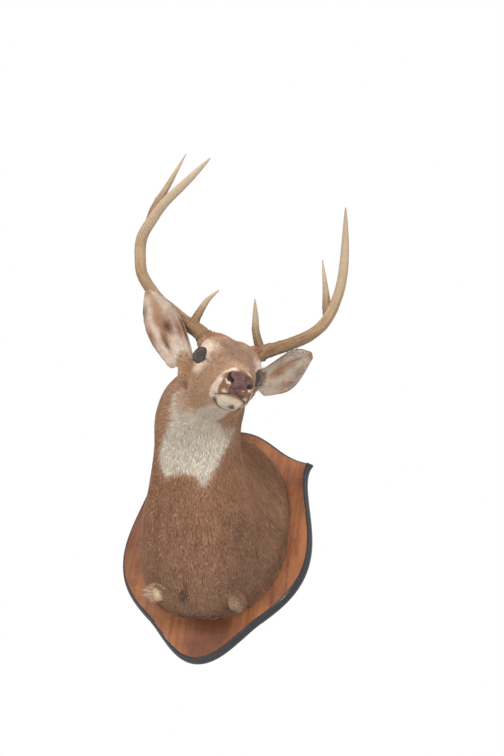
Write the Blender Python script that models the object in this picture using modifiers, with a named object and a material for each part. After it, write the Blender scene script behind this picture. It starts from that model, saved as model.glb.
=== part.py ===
"""White-tailed deer shoulder mount on a shield board, life size, in metres with +Z up.

The board hangs on a wall: its back is the plane Y = 0, the room is on the -Y side, and the origin is
the middle of the board's back.  +X is the deer's left.  Flesh solids reach to the tips of the coat.
"""
import math

import bmesh
import bpy
from mathutils import Matrix, Vector

GAP = 0.0003                 # left between pieces that touch
MM = 0.001

# Shield board
BOARD_THICK = 0.0205
BOARD_TOP = 0.2715
BOARD_BOTTOM = -0.2675
BOARD_HALF_WIDTH = 0.2040
RIM_WIDTH = 0.0070
EAR_CORNER = (0.1805, 0.1895)
OUTLINE_STEPS = 12
SHARPEST_MITRE = 0.45

# Hanger let into the back of the board
HANGER_SIZE = (0.060, 0.0020, 0.024)
HANGER_Z = 0.165
HANGER_DEEP = 0.0030
POCKET_DEEP = 0.0120
KEYHOLE_RADIUS = 0.0045
KEYHOLE_DROP = 0.0040
KEYHOLE_SLOT_HALF = 0.0020
KEYHOLE_SLOT_TOP = 0.0070
SCREW_RADIUS = 0.0032
SCREW_THICK = 0.0018
SCREW_SPACING = 0.042
SCREW_SLOT_HALF = 0.0004
SCREW_SLOT_DEEP = 0.0006

# Head pose: the point between the eyes, and the turn, nod and lean of the face, in degrees; the
# antlers and ears stand a little more upright
HEAD_POINT = Vector((0.0890, -0.3527, 0.2071))
FACE_POSE = (33.4, 22.0, 5.0)
CROWN_POSE = (32.4, 21.2, 1.7)

# Eyes
EYE_RADIUS = 0.0190
EYE_PLACE = (53.5, 9.0, -0.8)

# Nostrils and mouth, in the head's frame in millimetres
NOSTRIL_PLACE = (17, -191, -64)
NOSTRIL_TURN = math.radians(38)
NOSTRIL_RADII = (2.2, 5.8)
NOSTRIL_DEEP = 22
NOSTRIL_FLAT = 0.8
MOUTH_PLACE = (0, -138, -90)
MOUTH_TILT = math.radians(-3)
MOUTH_OUTER = (27, 62, 1.2)
MOUTH_INNER = (21, 54, 3.0)

# The deer's two sides and their sign along the head's own X
SIDES = (("right", -1.0), ("left", 1.0))
QUARTER = math.radians(90)
SMOOTH_BELOW = math.radians(40)
WELD = 0.00002

COAT = (0.30, 0.15, 0.085, 1.0)
ANTLER = (0.46, 0.34, 0.20, 1.0)
WOOD = (0.25, 0.10, 0.055, 1.0)
BLACK = (0.012, 0.011, 0.011, 1.0)
GLASS = (0.010, 0.008, 0.007, 1.0)
STEEL = (0.55, 0.54, 0.52, 1.0)


# ---------------------------------------------------------------- scene and helpers

def clear_scene():
    for thing in list(bpy.data.objects):
        bpy.data.objects.remove(thing, do_unlink=True)


def new_collection(name):
    collection = bpy.data.collections.new(name)
    bpy.context.scene.collection.children.link(collection)
    return collection


clear_scene()
MOUNT = new_collection("deer_shoulder_mount")
CUTTERS = new_collection("cutters")


def material(name, color, roughness, metallic=0.0):
    mat = bpy.data.materials.new(name)
    mat.use_nodes = True
    shader = mat.node_tree.nodes["Principled BSDF"]
    shader.inputs["Base Color"].default_value = color
    shader.inputs["Roughness"].default_value = roughness
    shader.inputs["Metallic"].default_value = metallic
    mat.diffuse_color = color
    return mat


COAT_MATERIAL = material("winter_coat", COAT, 0.85)
ANTLER_MATERIAL = material("antler", ANTLER, 0.55)
WOOD_MATERIAL = material("stained_wood", WOOD, 0.45)
RIM_MATERIAL = material("black_rim_paint", BLACK, 0.30)
GLASS_MATERIAL = material("dark_glass", GLASS, 0.05)
STEEL_MATERIAL = material("plated_steel", STEEL, 0.35, 1.0)


def add_object(name, bm, mat):
    """A finished piece from a bmesh, with faces turned outwards."""
    bmesh.ops.recalc_face_normals(bm, faces=bm.faces)
    mesh = bpy.data.meshes.new(name)
    bm.to_mesh(mesh)
    bm.free()
    obj = bpy.data.objects.new(name, mesh)
    if mat is None:
        CUTTERS.objects.link(obj)
        obj.hide_render = True
        obj.display_type = "WIRE"
    else:
        MOUNT.objects.link(obj)
        mesh.materials.append(mat)
        mesh.shade_smooth()
        mesh.set_sharp_from_angle(angle=SMOOTH_BELOW)
    return obj


def boolean(obj, cutter, operation):
    modifier = obj.modifiers.new(operation.lower() + "_" + cutter.name, "BOOLEAN")
    modifier.operation = operation
    modifier.solver = "EXACT"
    modifier.object = cutter


def swollen(name, source, by):
    """A cutter: the evaluated shape of source, grown along its normals."""
    graph = bpy.context.evaluated_depsgraph_get()
    mesh = bpy.data.meshes.new_from_object(source.evaluated_get(graph))
    bm = bmesh.new()
    bm.from_mesh(mesh)
    bpy.data.meshes.remove(mesh)
    bmesh.ops.remove_doubles(bm, verts=bm.verts, dist=WELD)
    bm.normal_update()
    for vert in bm.verts:
        vert.co += vert.normal * by
    return add_object(name, bm, None)


def box(name, corner_low, corner_high, turn=None):
    """A box cutter between two corners, optionally placed by a matrix."""
    low, high = Vector(corner_low), Vector(corner_high)
    place = Matrix.Translation((low + high) / 2) @ Matrix.Diagonal((*(high - low), 1.0))
    bm = bmesh.new()
    bmesh.ops.create_cube(bm, size=1.0, matrix=(turn or Matrix()) @ place)
    return add_object(name, bm, None)


def head_matrix(pose):
    yaw, nod, lean = (math.radians(degrees) for degrees in pose)
    turn = Matrix.Rotation(yaw, 4, "Z") @ Matrix.Rotation(nod, 4, "X") @ Matrix.Rotation(lean, 4, "Y")
    return Matrix.Translation(HEAD_POINT) @ turn


HEAD = head_matrix(FACE_POSE)
CROWN = head_matrix(CROWN_POSE)


def on_head(point):
    """World place of a point given in millimetres in the head's frame (left, back, up)."""
    return HEAD @ (Vector(point) * MM)


def on_crown(point):
    """The same for the frame that the antlers and ears are placed in."""
    return CROWN @ (Vector(point) * MM)


# ---------------------------------------------------------------- smooth interpolation

def spline_at(rows, t):
    """Catmull-Rom value of a list of equal-length tuples at t in 0..len(rows)-1."""
    last = len(rows) - 1
    i = min(int(t), last - 1)
    f = t - i
    quad = [rows[max(i - 1, 0)], rows[i], rows[i + 1], rows[min(i + 2, last)]]
    return tuple(0.5 * (2 * b + (c - a) * f + (2 * a - 5 * b + 4 * c - d) * f * f
                        + (3 * b - a - 3 * c + d) * f ** 3) for a, b, c, d in zip(*quad))


def resample(rows, per_span):
    count = (len(rows) - 1) * per_span
    return [spline_at(rows, k / per_span) for k in range(count + 1)]


def section_ring(top, bottom, level, half_width, side, fullness, around):
    """Closed ring between a top and a bottom point, widest at level (0 bottom, 1 top)."""
    upper_full, lower_full = fullness
    rise = top - bottom
    middle = bottom + rise * level
    ring = []
    for k in range(around):
        angle = 2 * math.pi * (k + 0.5) / around
        across, up = math.cos(angle), math.sin(angle)
        power = upper_full if up > 0 else lower_full
        reach = (1 - level) if up > 0 else level
        width = math.copysign(abs(across) ** power, across)
        height = math.copysign(abs(up) ** power, up)
        ring.append(middle + side * (half_width * width) + rise * (reach * height))
    return ring


def loft(name, rings, mat):
    """A closed solid through rings of equal count, with flat ends."""
    bm = bmesh.new()
    rows = [[bm.verts.new(point) for point in ring] for ring in rings]
    around = len(rows[0])
    for a, b in zip(rows, rows[1:]):
        for k in range(around):
            n = (k + 1) % around
            bm.faces.new((a[k], a[n], b[n], b[k]))
    bm.faces.new(rows[0])
    bm.faces.new(rows[-1])
    return add_object(name, bm, mat)


# ---------------------------------------------------------------- flesh: body and head lofts

# Top point, bottom point, half width, turn of the section in degrees, level of the widest place,
# fullness above and below (1 is an ellipse, less is squarer)
BODY_STATIONS = (
    ((0.000, -0.0208, 0.232), (0.000, -0.0208, -0.180), 0.157, 0, 0.44, 1.00, 0.90),
    ((0.000, -0.048, 0.236), (0.000, -0.060, -0.189), 0.157, 0, 0.48, 1.05, 0.95),
    ((-0.010, -0.075, 0.241), (0.000, -0.094, -0.172), 0.143, 2, 0.48, 1.30, 0.98),
    ((-0.020, -0.105, 0.248), (-0.001, -0.132, -0.120), 0.120, 4, 0.40, 1.50, 0.98),
    ((-0.024, -0.135, 0.255), (-0.004, -0.163, -0.047), 0.102, 8, 0.38, 1.45, 0.95),
    ((-0.022, -0.165, 0.262), (-0.011, -0.192, 0.028), 0.090, 14, 0.46, 1.20, 0.95),
    ((-0.014, -0.197, 0.270), (-0.012, -0.222, 0.085), 0.090, 20, 0.50, 1.00, 0.95),
    ((0.004, -0.230, 0.278), (0.007, -0.250, 0.118), 0.086, 27, 0.50, 0.95, 0.95),
    ((0.030, -0.264, 0.276), (0.036, -0.285, 0.132), 0.068, 32, 0.50, 0.95, 0.95),
)
BODY_SPAN = 3
BODY_AROUND = 32

# Head sections from the nose back, in millimetres: place along the head, top, bottom, level of the
# widest place, half width, fullness above and below
HEAD_STATIONS = (
    (-201, -56, -80, -70, 13, 0.80, 0.80),
    (-197, -47, -89, -70, 22, 0.75, 0.80),
    (-188, -42, -95, -70, 25.5, 0.75, 0.85),
    (-172, -36, -108, -72, 30, 0.85, 0.80),
    (-150, -28, -110, -70, 35.5, 0.90, 0.80),
    (-125, -17, -108, -62, 40, 0.90, 0.85),
    (-98, -4, -105, -50, 44, 0.90, 0.90),
    (-70, 11, -105, -34, 48, 0.90, 0.95),
    (-42, 27, -106, -18, 53, 0.90, 1.00),
    (-15, 42, -108, -6, 61, 0.80, 1.05),
    (10, 54, -109, 0, 66, 0.72, 1.05),
    (38, 65, -108, -4, 65, 0.66, 1.00),
    (66, 73, -100, -8, 62, 0.68, 0.95),
    (94, 70, -80, -10, 62, 0.75, 0.90),
    (122, 50, -56, -10, 58, 0.85, 0.90),
)
HEAD_SPAN = 2
HEAD_AROUND = 32


def body_loft(name, mat):
    rows = [(*top, *bottom, *rest) for top, bottom, *rest in BODY_STATIONS]
    rings = []
    for row in resample(rows, BODY_SPAN):
        top, bottom = Vector(row[0:3]), Vector(row[3:6])
        half_width, turn, level, upper, lower = row[6:]
        side = Matrix.Rotation(math.radians(turn), 3, "Z") @ Vector((1, 0, 0))
        rings.append(section_ring(top, bottom, level, half_width, side, (upper, lower), BODY_AROUND))
    return loft(name, rings, mat)


def head_loft(name, mat):
    rings = []
    for along, top, bottom, widest, half_width, upper, lower in resample(HEAD_STATIONS, HEAD_SPAN):
        ring = section_ring(Vector((0, along, top)), Vector((0, along, bottom)),
                            (widest - bottom) / (top - bottom), half_width, Vector((1, 0, 0)),
                            (upper, lower), HEAD_AROUND)
        rings.append([on_head(point) for point in ring])
    return loft(name, rings, mat)


# Hair swirls where the forelegs end: centre, radii
LEG_SWIRLS = (("right", (-0.082, -0.080, -0.152)), ("left", (0.086, -0.076, -0.166)))
SWIRL_RADII = (0.026, 0.022, 0.024)

# Hair-covered bony stumps that carry the antlers, in the crown's frame in millimetres
PEDICLE_PLACE = (50, 60, 47)
PEDICLE_RADII = (21, 22, 25)

# Hair-covered roots of the ears: centre and radii, in the crown's frame in millimetres
EAR_BASES = {"right": ((-70, 86, -13), (17, 20, 40)), "left": ((66, 88, 6), (17, 20, 50))}

# Planes that part the flesh: the head from the neck, and the neck from the shoulders
NAPE_POINT = (0, 116, 0)
NAPE_TILT = math.radians(-14)
COLLAR_POINT = Vector((0.0, -0.165, 0.09))
COLLAR_TILT = math.radians(-62)
FAR = 1.2


def half_space(name, plane, ahead, clear=0.0):
    """A large box on one side of the plane whose +Y points back towards the board."""
    if ahead:
        return box(name, (-FAR, -FAR, -FAR), (FAR, -clear, FAR), plane)
    return box(name, (-FAR, clear, -FAR), (FAR, FAR, FAR), plane)


def nape_plane():
    return CROWN @ Matrix.Translation(Vector(NAPE_POINT) * MM) @ Matrix.Rotation(NAPE_TILT, 4, "X")


def collar_plane():
    return Matrix.Translation(COLLAR_POINT) @ Matrix.Rotation(COLLAR_TILT, 4, "X")


def swirl(side, centre):
    bm = bmesh.new()
    place = Matrix.Translation(centre) @ Matrix.Diagonal((*SWIRL_RADII, 1.0))
    bmesh.ops.create_icosphere(bm, subdivisions=2, radius=1.0, matrix=place)
    return add_object("swirl_" + side, bm, None)


def pedicle(side, sign):
    x, y, z = PEDICLE_PLACE
    bm = bmesh.new()
    place = CROWN @ Matrix.Translation(Vector((sign * x, y, z)) * MM)
    bmesh.ops.create_icosphere(bm, subdivisions=2, radius=MM,
                               matrix=place @ Matrix.Diagonal((*PEDICLE_RADII, 1.0)))
    return add_object("pedicle_" + side, bm, None)


def ear_base(side):
    centre, radii = EAR_BASES[side]
    bm = bmesh.new()
    place = CROWN @ Matrix.Translation(Vector(centre) * MM) @ Matrix.Diagonal((*radii, 1.0))
    bmesh.ops.create_icosphere(bm, subdivisions=2, radius=MM, matrix=place)
    return add_object("ear_base_" + side, bm, None)


def nostril(side, sign):
    """A slanting comma-shaped pit in the side of the nose."""
    x, y, z = NOSTRIL_PLACE
    inner, outer = NOSTRIL_RADII
    turn = Matrix.Rotation(sign * NOSTRIL_TURN, 4, "Z") @ Matrix.Rotation(QUARTER, 4, "X")
    place = HEAD @ Matrix.Translation(Vector((sign * x, y, z)) * MM) @ turn
    bm = bmesh.new()
    bmesh.ops.create_cone(bm, cap_ends=True, segments=10, radius1=inner * MM, radius2=outer * MM,
                          depth=NOSTRIL_DEEP * MM,
                          matrix=place @ Matrix.Diagonal((1.0, NOSTRIL_FLAT, 1.0, 1.0)))
    return add_object("nostril_" + side, bm, None)


def mouth_disc(name, half_sizes):
    """An oval disc across the muzzle: half width, half length and thickness."""
    stretch = Matrix.Diagonal((*(size * MM for size in half_sizes), 1.0))
    place = HEAD @ Matrix.Translation(Vector(MOUTH_PLACE) * MM) @ Matrix.Rotation(MOUTH_TILT, 4, "X")
    bm = bmesh.new()
    bmesh.ops.create_cone(bm, cap_ends=True, segments=28, radius1=1.0, radius2=1.0, depth=1.0,
                          matrix=place @ stretch)
    return add_object(name, bm, None)


def mouth_slit():
    """The closed mouth: a thin curved groove round the front and sides of the muzzle."""
    outer = mouth_disc("mouth_outer", MOUTH_OUTER)
    boolean(outer, mouth_disc("mouth_inner", MOUTH_INNER), "DIFFERENCE")
    return outer


def eyeball(name, sign, radius, mat):
    x, y, z = EYE_PLACE
    place = HEAD @ Matrix.Translation(Vector((sign * x, y, z)) * MM) @ Matrix.Rotation(QUARTER, 4, "Y")
    bm = bmesh.new()
    bmesh.ops.create_uvsphere(bm, u_segments=16, v_segments=10, radius=radius, matrix=place)
    return add_object(name, bm, mat)


def build_flesh():
    body_guide = body_loft("body_guide", None)
    head_guide = head_loft("head_guide", None)
    nape, collar = nape_plane(), collar_plane()

    shoulders = body_loft("shoulders", COAT_MATERIAL)
    for side, centre in LEG_SWIRLS:
        boolean(shoulders, swirl(side, centre), "UNION")
    clearance = box("board_clearance", (-FAR, -BOARD_THICK - GAP, -FAR), (FAR, FAR, FAR))
    boolean(shoulders, clearance, "DIFFERENCE")
    boolean(shoulders, half_space("behind_collar", collar, False, GAP), "INTERSECT")

    neck = body_loft("neck", COAT_MATERIAL)
    boolean(neck, head_guide, "UNION")
    boolean(neck, half_space("ahead_of_collar", collar, True), "INTERSECT")
    boolean(neck, half_space("behind_nape", nape, False, GAP), "INTERSECT")

    head = head_loft("head", COAT_MATERIAL)
    boolean(head, body_guide, "UNION")
    for side, sign in SIDES:
        boolean(head, pedicle(side, sign), "UNION")
        boolean(head, ear_base(side), "UNION")
    boolean(head, half_space("ahead_of_nape", nape, True), "INTERSECT")
    flesh_edge = swollen("flesh_edge", head, GAP)
    for side, sign in SIDES:
        boolean(head, eyeball("socket_" + side, sign, EYE_RADIUS + GAP, None), "DIFFERENCE")
        boolean(head, nostril(side, sign), "DIFFERENCE")
        eyeball("eye_" + side, sign, EYE_RADIUS, GLASS_MATERIAL)
    boolean(head, mouth_slit(), "DIFFERENCE")
    neck_edge = swollen("neck_edge", neck, GAP)
    return flesh_edge, neck_edge


# ---------------------------------------------------------------- ears

# Root, tip and the side that the cup faces, in the crown's frame in millimetres
EARS = {
    "right": ((-78, 80, -8), (-193, 108, 126), (-0.30, -0.95, -0.10)),
    "left": ((74, 86, 4), (192, 150, 117), (0.35, -0.90, -0.25)),
}
EAR_THICK = 0.0040
# Along the ear: fraction of its length, half width across, how far the cup wraps in degrees
EAR_STATIONS = (
    (0.00, 25, 86), (0.14, 30, 84), (0.32, 36, 78), (0.52, 37, 62), (0.72, 30, 46),
    (0.88, 17, 34), (0.975, 6, 20),
)
EAR_ACROSS = 12


def ear(side):
    """A cupped leaf of even thickness, rolled into a funnel at its root."""
    root, tip, facing = (Vector(v) for v in EARS[side])
    along = tip - root
    face = (facing - along.normalized() * facing.dot(along.normalized())).normalized()
    across = along.normalized().cross(face)
    bm = bmesh.new()
    rows = []
    for part, half_width, wrap in resample(EAR_STATIONS, 2):
        bend = math.radians(wrap)
        radius = half_width / math.sin(min(bend, math.pi / 2))
        centre = root + along * part + face * radius * (1 - math.cos(bend) * 0.35)
        row = []
        for k in range(EAR_ACROSS + 1):
            angle = bend * (2 * k / EAR_ACROSS - 1)
            point = centre + across * radius * math.sin(angle) - face * radius * math.cos(angle)
            row.append(bm.verts.new(on_crown(point)))
        rows.append(row)
    for a, b in zip(rows, rows[1:]):
        for k in range(EAR_ACROSS):
            bm.faces.new((a[k], a[k + 1], b[k + 1], b[k]))
    obj = add_object("ear_" + side, bm, COAT_MATERIAL)
    shell = obj.modifiers.new("thickness", "SOLIDIFY")
    shell.thickness = EAR_THICK
    shell.offset = 0.0
    return obj


# ---------------------------------------------------------------- antlers

# Points in the crown's frame in millimetres, each with its radius
BEAMS = {
    "right": ((-50, 50, 38, 15.5), (-62, 62, 59, 15), (-97, 92, 79, 13.5), (-131, 120, 101, 12.5),
              (-163, 143, 122, 12.2), (-200, 164, 159, 12), (-215, 176, 191, 12),
              (-227, 186, 245, 11.8), (-216, 182, 297, 10.8), (-203, 173, 334, 10),
              (-181, 160, 374, 8.8), (-162, 144, 409, 6.4), (-145, 124, 440, 1.6)),
    "left": ((55, 52, 38, 15), (66, 62, 62, 14.5), (94, 79, 84, 13), (130, 105, 114, 12.4),
             (167, 132, 151, 12), (194, 152, 196, 11.6), (208, 172, 262, 11),
             (206, 178, 318, 10.4), (193, 168, 369, 8.8), (174, 145, 416, 4.8),
             (162, 128, 440, 1.5)),
}
BROW_TINES = {
    "right": ((-84, 76, 76, 10), (-79, 72, 101, 7.8), (-71, 66, 130, 5.6), (-55, 58, 157, 1.4)),
    "left": ((62, 73, 70, 10), (42, 68, 102, 7.8), (31, 60, 130, 6), (18, 48, 161, 1.4)),
}
SECOND_TINES = {
    "right": ((-223, 182, 268, 6), (-222, 190, 292, 8.4), (-220, 196, 321, 8.2), (-207, 203, 378, 6.6),
              (-190, 205, 462, 1.4)),
    "left": ((194, 154, 198, 7), (191, 178, 232, 8.6), (184, 193, 268, 7), (160, 205, 338, 1.4)),
}
THIRD_TINE = ((-219, 184, 296, 5), (-222, 197, 318, 3.6), (-224, 205, 348, 1.2))
# Spans of the beam below the main fork, counted along its points
FORK_SPAN = {"right": 7.35, "left": 5.1}
TUBE_STEPS = 2


def tube(name, points, mat):
    """A tapering round bar through points, as a closed mesh."""
    curve = bpy.data.curves.new(name, "CURVE")
    curve.dimensions = "3D"
    curve.bevel_depth = MM
    curve.bevel_resolution = 3
    curve.use_fill_caps = True
    spline = curve.splines.new("POLY")
    fine = resample(points, TUBE_STEPS)
    spline.points.add(len(fine) - 1)
    for dot, (x, y, z, radius) in zip(spline.points, fine):
        dot.co = (*on_crown((x, y, z)), 1.0)
        dot.radius = radius
    wire = bpy.data.objects.new(name + "_route", curve)
    CUTTERS.objects.link(wire)
    graph = bpy.context.evaluated_depsgraph_get()
    mesh = bpy.data.meshes.new_from_object(wire.evaluated_get(graph))
    bm = bmesh.new()
    bm.from_mesh(mesh)
    bmesh.ops.remove_doubles(bm, verts=bm.verts, dist=WELD)
    bpy.data.objects.remove(wire, do_unlink=True)
    bpy.data.meshes.remove(mesh)
    return add_object(name, bm, mat)


def fork_plane(side):
    here = Vector(spline_at(BEAMS[side], FORK_SPAN[side])[:3])
    ahead = Vector(spline_at(BEAMS[side], FORK_SPAN[side] + 0.1)[:3])
    axis = (on_crown(ahead) - on_crown(here)).normalized()
    turn = Vector((0, 1, 0)).rotation_difference(axis).to_matrix().to_4x4()
    return Matrix.Translation(on_crown(here)) @ turn


def antler(side, flesh_edge):
    stem = "antler_" + side
    plane = fork_plane(side)
    whole = tube(stem + "_beam_guide", BEAMS[side], None)
    beam_edge = swollen(stem + "_beam_edge", whole, GAP)
    lower = tube(stem + "_beam_lower", BEAMS[side], ANTLER_MATERIAL)
    boolean(lower, flesh_edge, "DIFFERENCE")
    boolean(lower, half_space(stem + "_below_fork", plane, True), "INTERSECT")
    upper = tube(stem + "_beam_upper", BEAMS[side], ANTLER_MATERIAL)
    boolean(upper, half_space(stem + "_above_fork", plane, False, GAP), "INTERSECT")
    brow = tube(stem + "_brow_tine", BROW_TINES[side], ANTLER_MATERIAL)
    boolean(brow, flesh_edge, "DIFFERENCE")
    boolean(brow, beam_edge, "DIFFERENCE")
    second = tube(stem + "_second_tine", SECOND_TINES[side], ANTLER_MATERIAL)
    boolean(second, beam_edge, "DIFFERENCE")
    if side == "right":
        second_guide = tube("second_tine_guide", SECOND_TINES[side], None)
        second_edge = swollen("second_tine_edge", second_guide, GAP)
        third = tube(stem + "_third_tine", THIRD_TINE, ANTLER_MATERIAL)
        boolean(third, beam_edge, "DIFFERENCE")
        boolean(third, second_edge, "DIFFERENCE")
    return beam_edge


# ---------------------------------------------------------------- board and hanger

# The +X half of the outline, from the top middle to the bottom middle: knots with the handles that
# leave and enter them
OUTLINE_SPANS = (
    ((0.0, BOARD_TOP), (0.079, BOARD_TOP), (0.100, 0.2010), EAR_CORNER),
    (EAR_CORNER, (0.1550, 0.1560), (BOARD_HALF_WIDTH, 0.0560), (BOARD_HALF_WIDTH, -0.0200)),
    ((BOARD_HALF_WIDTH, -0.0200), (BOARD_HALF_WIDTH, -0.0950), (0.1660, -0.1370), (0.1180, -0.1780)),
    ((0.1180, -0.1780), (0.0840, -0.2085), (0.0500, BOARD_BOTTOM), (0.0, BOARD_BOTTOM)),
)
# Section of the routed black edge: distance in from the outline, and height above the back
RIM_SECTION = (
    (0.0000, 0.0000), (0.0000, 0.0100), (0.0014, 0.0125), (0.0020, 0.0165), (0.0042, 0.0192),
    (RIM_WIDTH - GAP, BOARD_THICK), (RIM_WIDTH - GAP, 0.0000),
)


def bezier(span, t):
    a, b, c, d = (Vector(p) for p in span)
    s = 1 - t
    return a * s ** 3 + b * 3 * s * s * t + c * 3 * s * t * t + d * t ** 3


def half_outline():
    points = [bezier(span, k / OUTLINE_STEPS) for span in OUTLINE_SPANS for k in range(OUTLINE_STEPS)]
    return points + [Vector(OUTLINE_SPANS[-1][-1])]


def outline_points():
    half = half_outline()
    return half + [Vector((-p.x, p.y)) for p in reversed(half[1:-1])]


def inset_points(points, by):
    """The outline moved inwards by an even distance, mitred at its corners."""
    moved = []
    count = len(points)
    for k, here in enumerate(points):
        before = (here - points[k - 1]).normalized()
        after = (points[(k + 1) % count] - here).normalized()
        inward = Vector((-before.y - after.y, before.x + after.x)) * -1
        inward.normalize()
        stretch = max(SHARPEST_MITRE, math.sqrt(max(0.0, (1 + before.dot(after)) / 2)))
        moved.append(here + inward * (by / stretch))
    return moved


def board_ring(by, height):
    return [Vector((p.x, -height, p.y)) for p in inset_points(outline_points(), by)]


def board_rim():
    bm = bmesh.new()
    rows = [[bm.verts.new(p) for p in board_ring(by, height)] for by, height in RIM_SECTION]
    count = len(rows[0])
    for a, b in zip(rows, rows[1:] + rows[:1]):
        for k in range(count):
            n = (k + 1) % count
            bm.faces.new((a[k], a[n], b[n], b[k]))
    return add_object("board_rim", bm, RIM_MATERIAL)


def board_panel():
    rings = [board_ring(RIM_WIDTH, height) for height in (0.0, BOARD_THICK)]
    panel = loft("board_panel", rings, WOOD_MATERIAL)
    width, _, height = HANGER_SIZE
    pocket = box("hanger_pocket", (-width / 2 - GAP, -POCKET_DEEP, HANGER_Z - height / 2 - GAP),
                 (width / 2 + GAP, GAP * 3, HANGER_Z + height / 2 + GAP))
    boolean(panel, pocket, "DIFFERENCE")
    return panel


def cylinder(name, centre, radius, depth, mat):
    bm = bmesh.new()
    place = Matrix.Translation(centre) @ Matrix.Rotation(QUARTER, 4, "X")
    bmesh.ops.create_cone(bm, cap_ends=True, segments=24, radius1=radius, radius2=radius,
                          depth=depth, matrix=place)
    return add_object(name, bm, mat)


def keyhole_plate():
    """The hanger: a steel plate with a keyhole, let into the back so that the board hangs flat."""
    width, thick, height = HANGER_SIZE
    middle = -HANGER_DEEP - thick / 2
    place = Matrix.Translation((0, middle, HANGER_Z)) @ Matrix.Diagonal((width, thick, height, 1.0))
    bm = bmesh.new()
    bmesh.ops.create_cube(bm, size=1.0, matrix=place)
    plate = add_object("hanger_plate", bm, STEEL_MATERIAL)
    eye_z = HANGER_Z - KEYHOLE_DROP
    eye = cylinder("keyhole_round", (0, middle, eye_z), KEYHOLE_RADIUS, thick * 3, None)
    slot = box("keyhole_slot", (-KEYHOLE_SLOT_HALF, middle - thick * 1.5, eye_z),
               (KEYHOLE_SLOT_HALF, middle + thick * 1.5, HANGER_Z + KEYHOLE_SLOT_TOP))
    boolean(plate, eye, "DIFFERENCE")
    boolean(plate, slot, "DIFFERENCE")


def hanger_screw(number, x):
    """A slotted screw head resting on the plate."""
    y = GAP + SCREW_THICK / 2 - HANGER_DEEP
    centre = (x, y, HANGER_Z)
    head = cylinder(f"hanger_screw_{number}", centre, SCREW_RADIUS, SCREW_THICK, STEEL_MATERIAL)
    face = y + SCREW_THICK / 2
    slot = box(f"screw_slot_{number}",
               (x - SCREW_RADIUS * 1.25, face - SCREW_SLOT_DEEP, HANGER_Z - SCREW_SLOT_HALF),
               (x + SCREW_RADIUS * 1.25, face + SCREW_THICK, HANGER_Z + SCREW_SLOT_HALF))
    boolean(head, slot, "DIFFERENCE")


def hanger():
    keyhole_plate()
    for number, side in enumerate((-1, 1), start=1):
        hanger_screw(number, side * SCREW_SPACING / 2)


# ---------------------------------------------------------------- the whole mount

def build():
    board_rim()
    board_panel()
    hanger()
    flesh_edge, neck_edge = build_flesh()
    for side, _ in SIDES:
        beam_edge = antler(side, flesh_edge)
        leaf = ear(side)
        boolean(leaf, flesh_edge, "DIFFERENCE")
        boolean(leaf, neck_edge, "DIFFERENCE")
        boolean(leaf, beam_edge, "DIFFERENCE")


build()
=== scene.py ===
"""White-tailed deer shoulder mount: skin, coat, eyes, antlers and board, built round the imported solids.

Lengths are in metres.  Head coordinates are in millimetres from the point between the eyes: X to the
deer's left, Y backwards along the head and Z up; an array of points in them is called h.  The back of
the board is the plane Y = 0.
"""
import math

import bmesh
import bpy
import numpy as np
from bpy.props import FloatProperty, FloatVectorProperty, IntProperty, PointerProperty
from mathutils import Matrix, Vector, noise
from mathutils.bvhtree import BVHTree


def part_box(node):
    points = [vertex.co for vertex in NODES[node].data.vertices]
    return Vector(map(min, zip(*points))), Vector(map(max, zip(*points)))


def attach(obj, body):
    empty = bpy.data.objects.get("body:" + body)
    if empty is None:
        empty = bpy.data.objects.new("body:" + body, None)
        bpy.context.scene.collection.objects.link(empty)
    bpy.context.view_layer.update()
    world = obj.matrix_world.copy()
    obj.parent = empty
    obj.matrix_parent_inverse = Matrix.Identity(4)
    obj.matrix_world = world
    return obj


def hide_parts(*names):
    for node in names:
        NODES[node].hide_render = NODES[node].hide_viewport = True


bl_info = {
    "name": "Deer shoulder mount",
    "version": (1, 0, 0),
    "blender": (4, 5, 0),
    "location": "3D View > Sidebar > Deer mount",
    "description": "Skin, coat, eyes, antlers and shield board of a white-tailed deer shoulder mount",
    "category": "Object",
}

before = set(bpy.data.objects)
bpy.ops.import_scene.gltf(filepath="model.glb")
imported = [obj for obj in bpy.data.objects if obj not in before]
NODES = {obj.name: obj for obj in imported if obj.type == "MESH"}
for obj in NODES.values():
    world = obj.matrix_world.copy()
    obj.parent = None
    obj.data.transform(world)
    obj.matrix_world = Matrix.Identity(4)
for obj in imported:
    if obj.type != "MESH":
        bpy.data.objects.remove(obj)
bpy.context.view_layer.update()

MM = 0.001
BODY = "root"
FLESH = ("head", "neck", "shoulders", "ear_right", "ear_left")
# Name of each side, and the sign of X on it
SIDES = (("right", -1.0), ("left", 1.0))
# Corners nearer together than this are joined
WELD = 0.00001
# A length too short to divide by
TINY = 1e-12
SEED = 31

# Point between the eyes, and yaw, nod and lean in degrees.  The antlers and ears stand a little more
# upright than the face, on axes of their own that are called the crown's.
HEAD_POINT = Vector((0.0890, -0.3527, 0.2071))
FACE_POSE = (33.4, 22.0, 5.0)
CROWN_POSE = (32.4, 21.2, 1.7)


def pose_turn(pose):
    yaw, nod, lean = (math.radians(degrees) for degrees in pose)
    return Matrix.Rotation(yaw, 3, "Z") @ Matrix.Rotation(nod, 3, "X") @ Matrix.Rotation(lean, 3, "Y")


HEAD = Matrix.Translation(HEAD_POINT) @ pose_turn(FACE_POSE).to_4x4()
CROWN = Matrix.Translation(HEAD_POINT) @ pose_turn(CROWN_POSE).to_4x4()
HEAD_AXES = np.array(pose_turn(FACE_POSE))
HEAD_ORIGIN = np.array(HEAD_POINT)
CROWN_IN_HEAD = HEAD_AXES.T @ np.array(pose_turn(CROWN_POSE))

BOARD_THICK = 0.0205
BOARD_FRONT = -BOARD_THICK
# Nothing of the deer lies further back than this
REAR_LIMIT = BOARD_FRONT - 0.0003


# ---------------------------------------------------------------- numbers and frames

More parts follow.
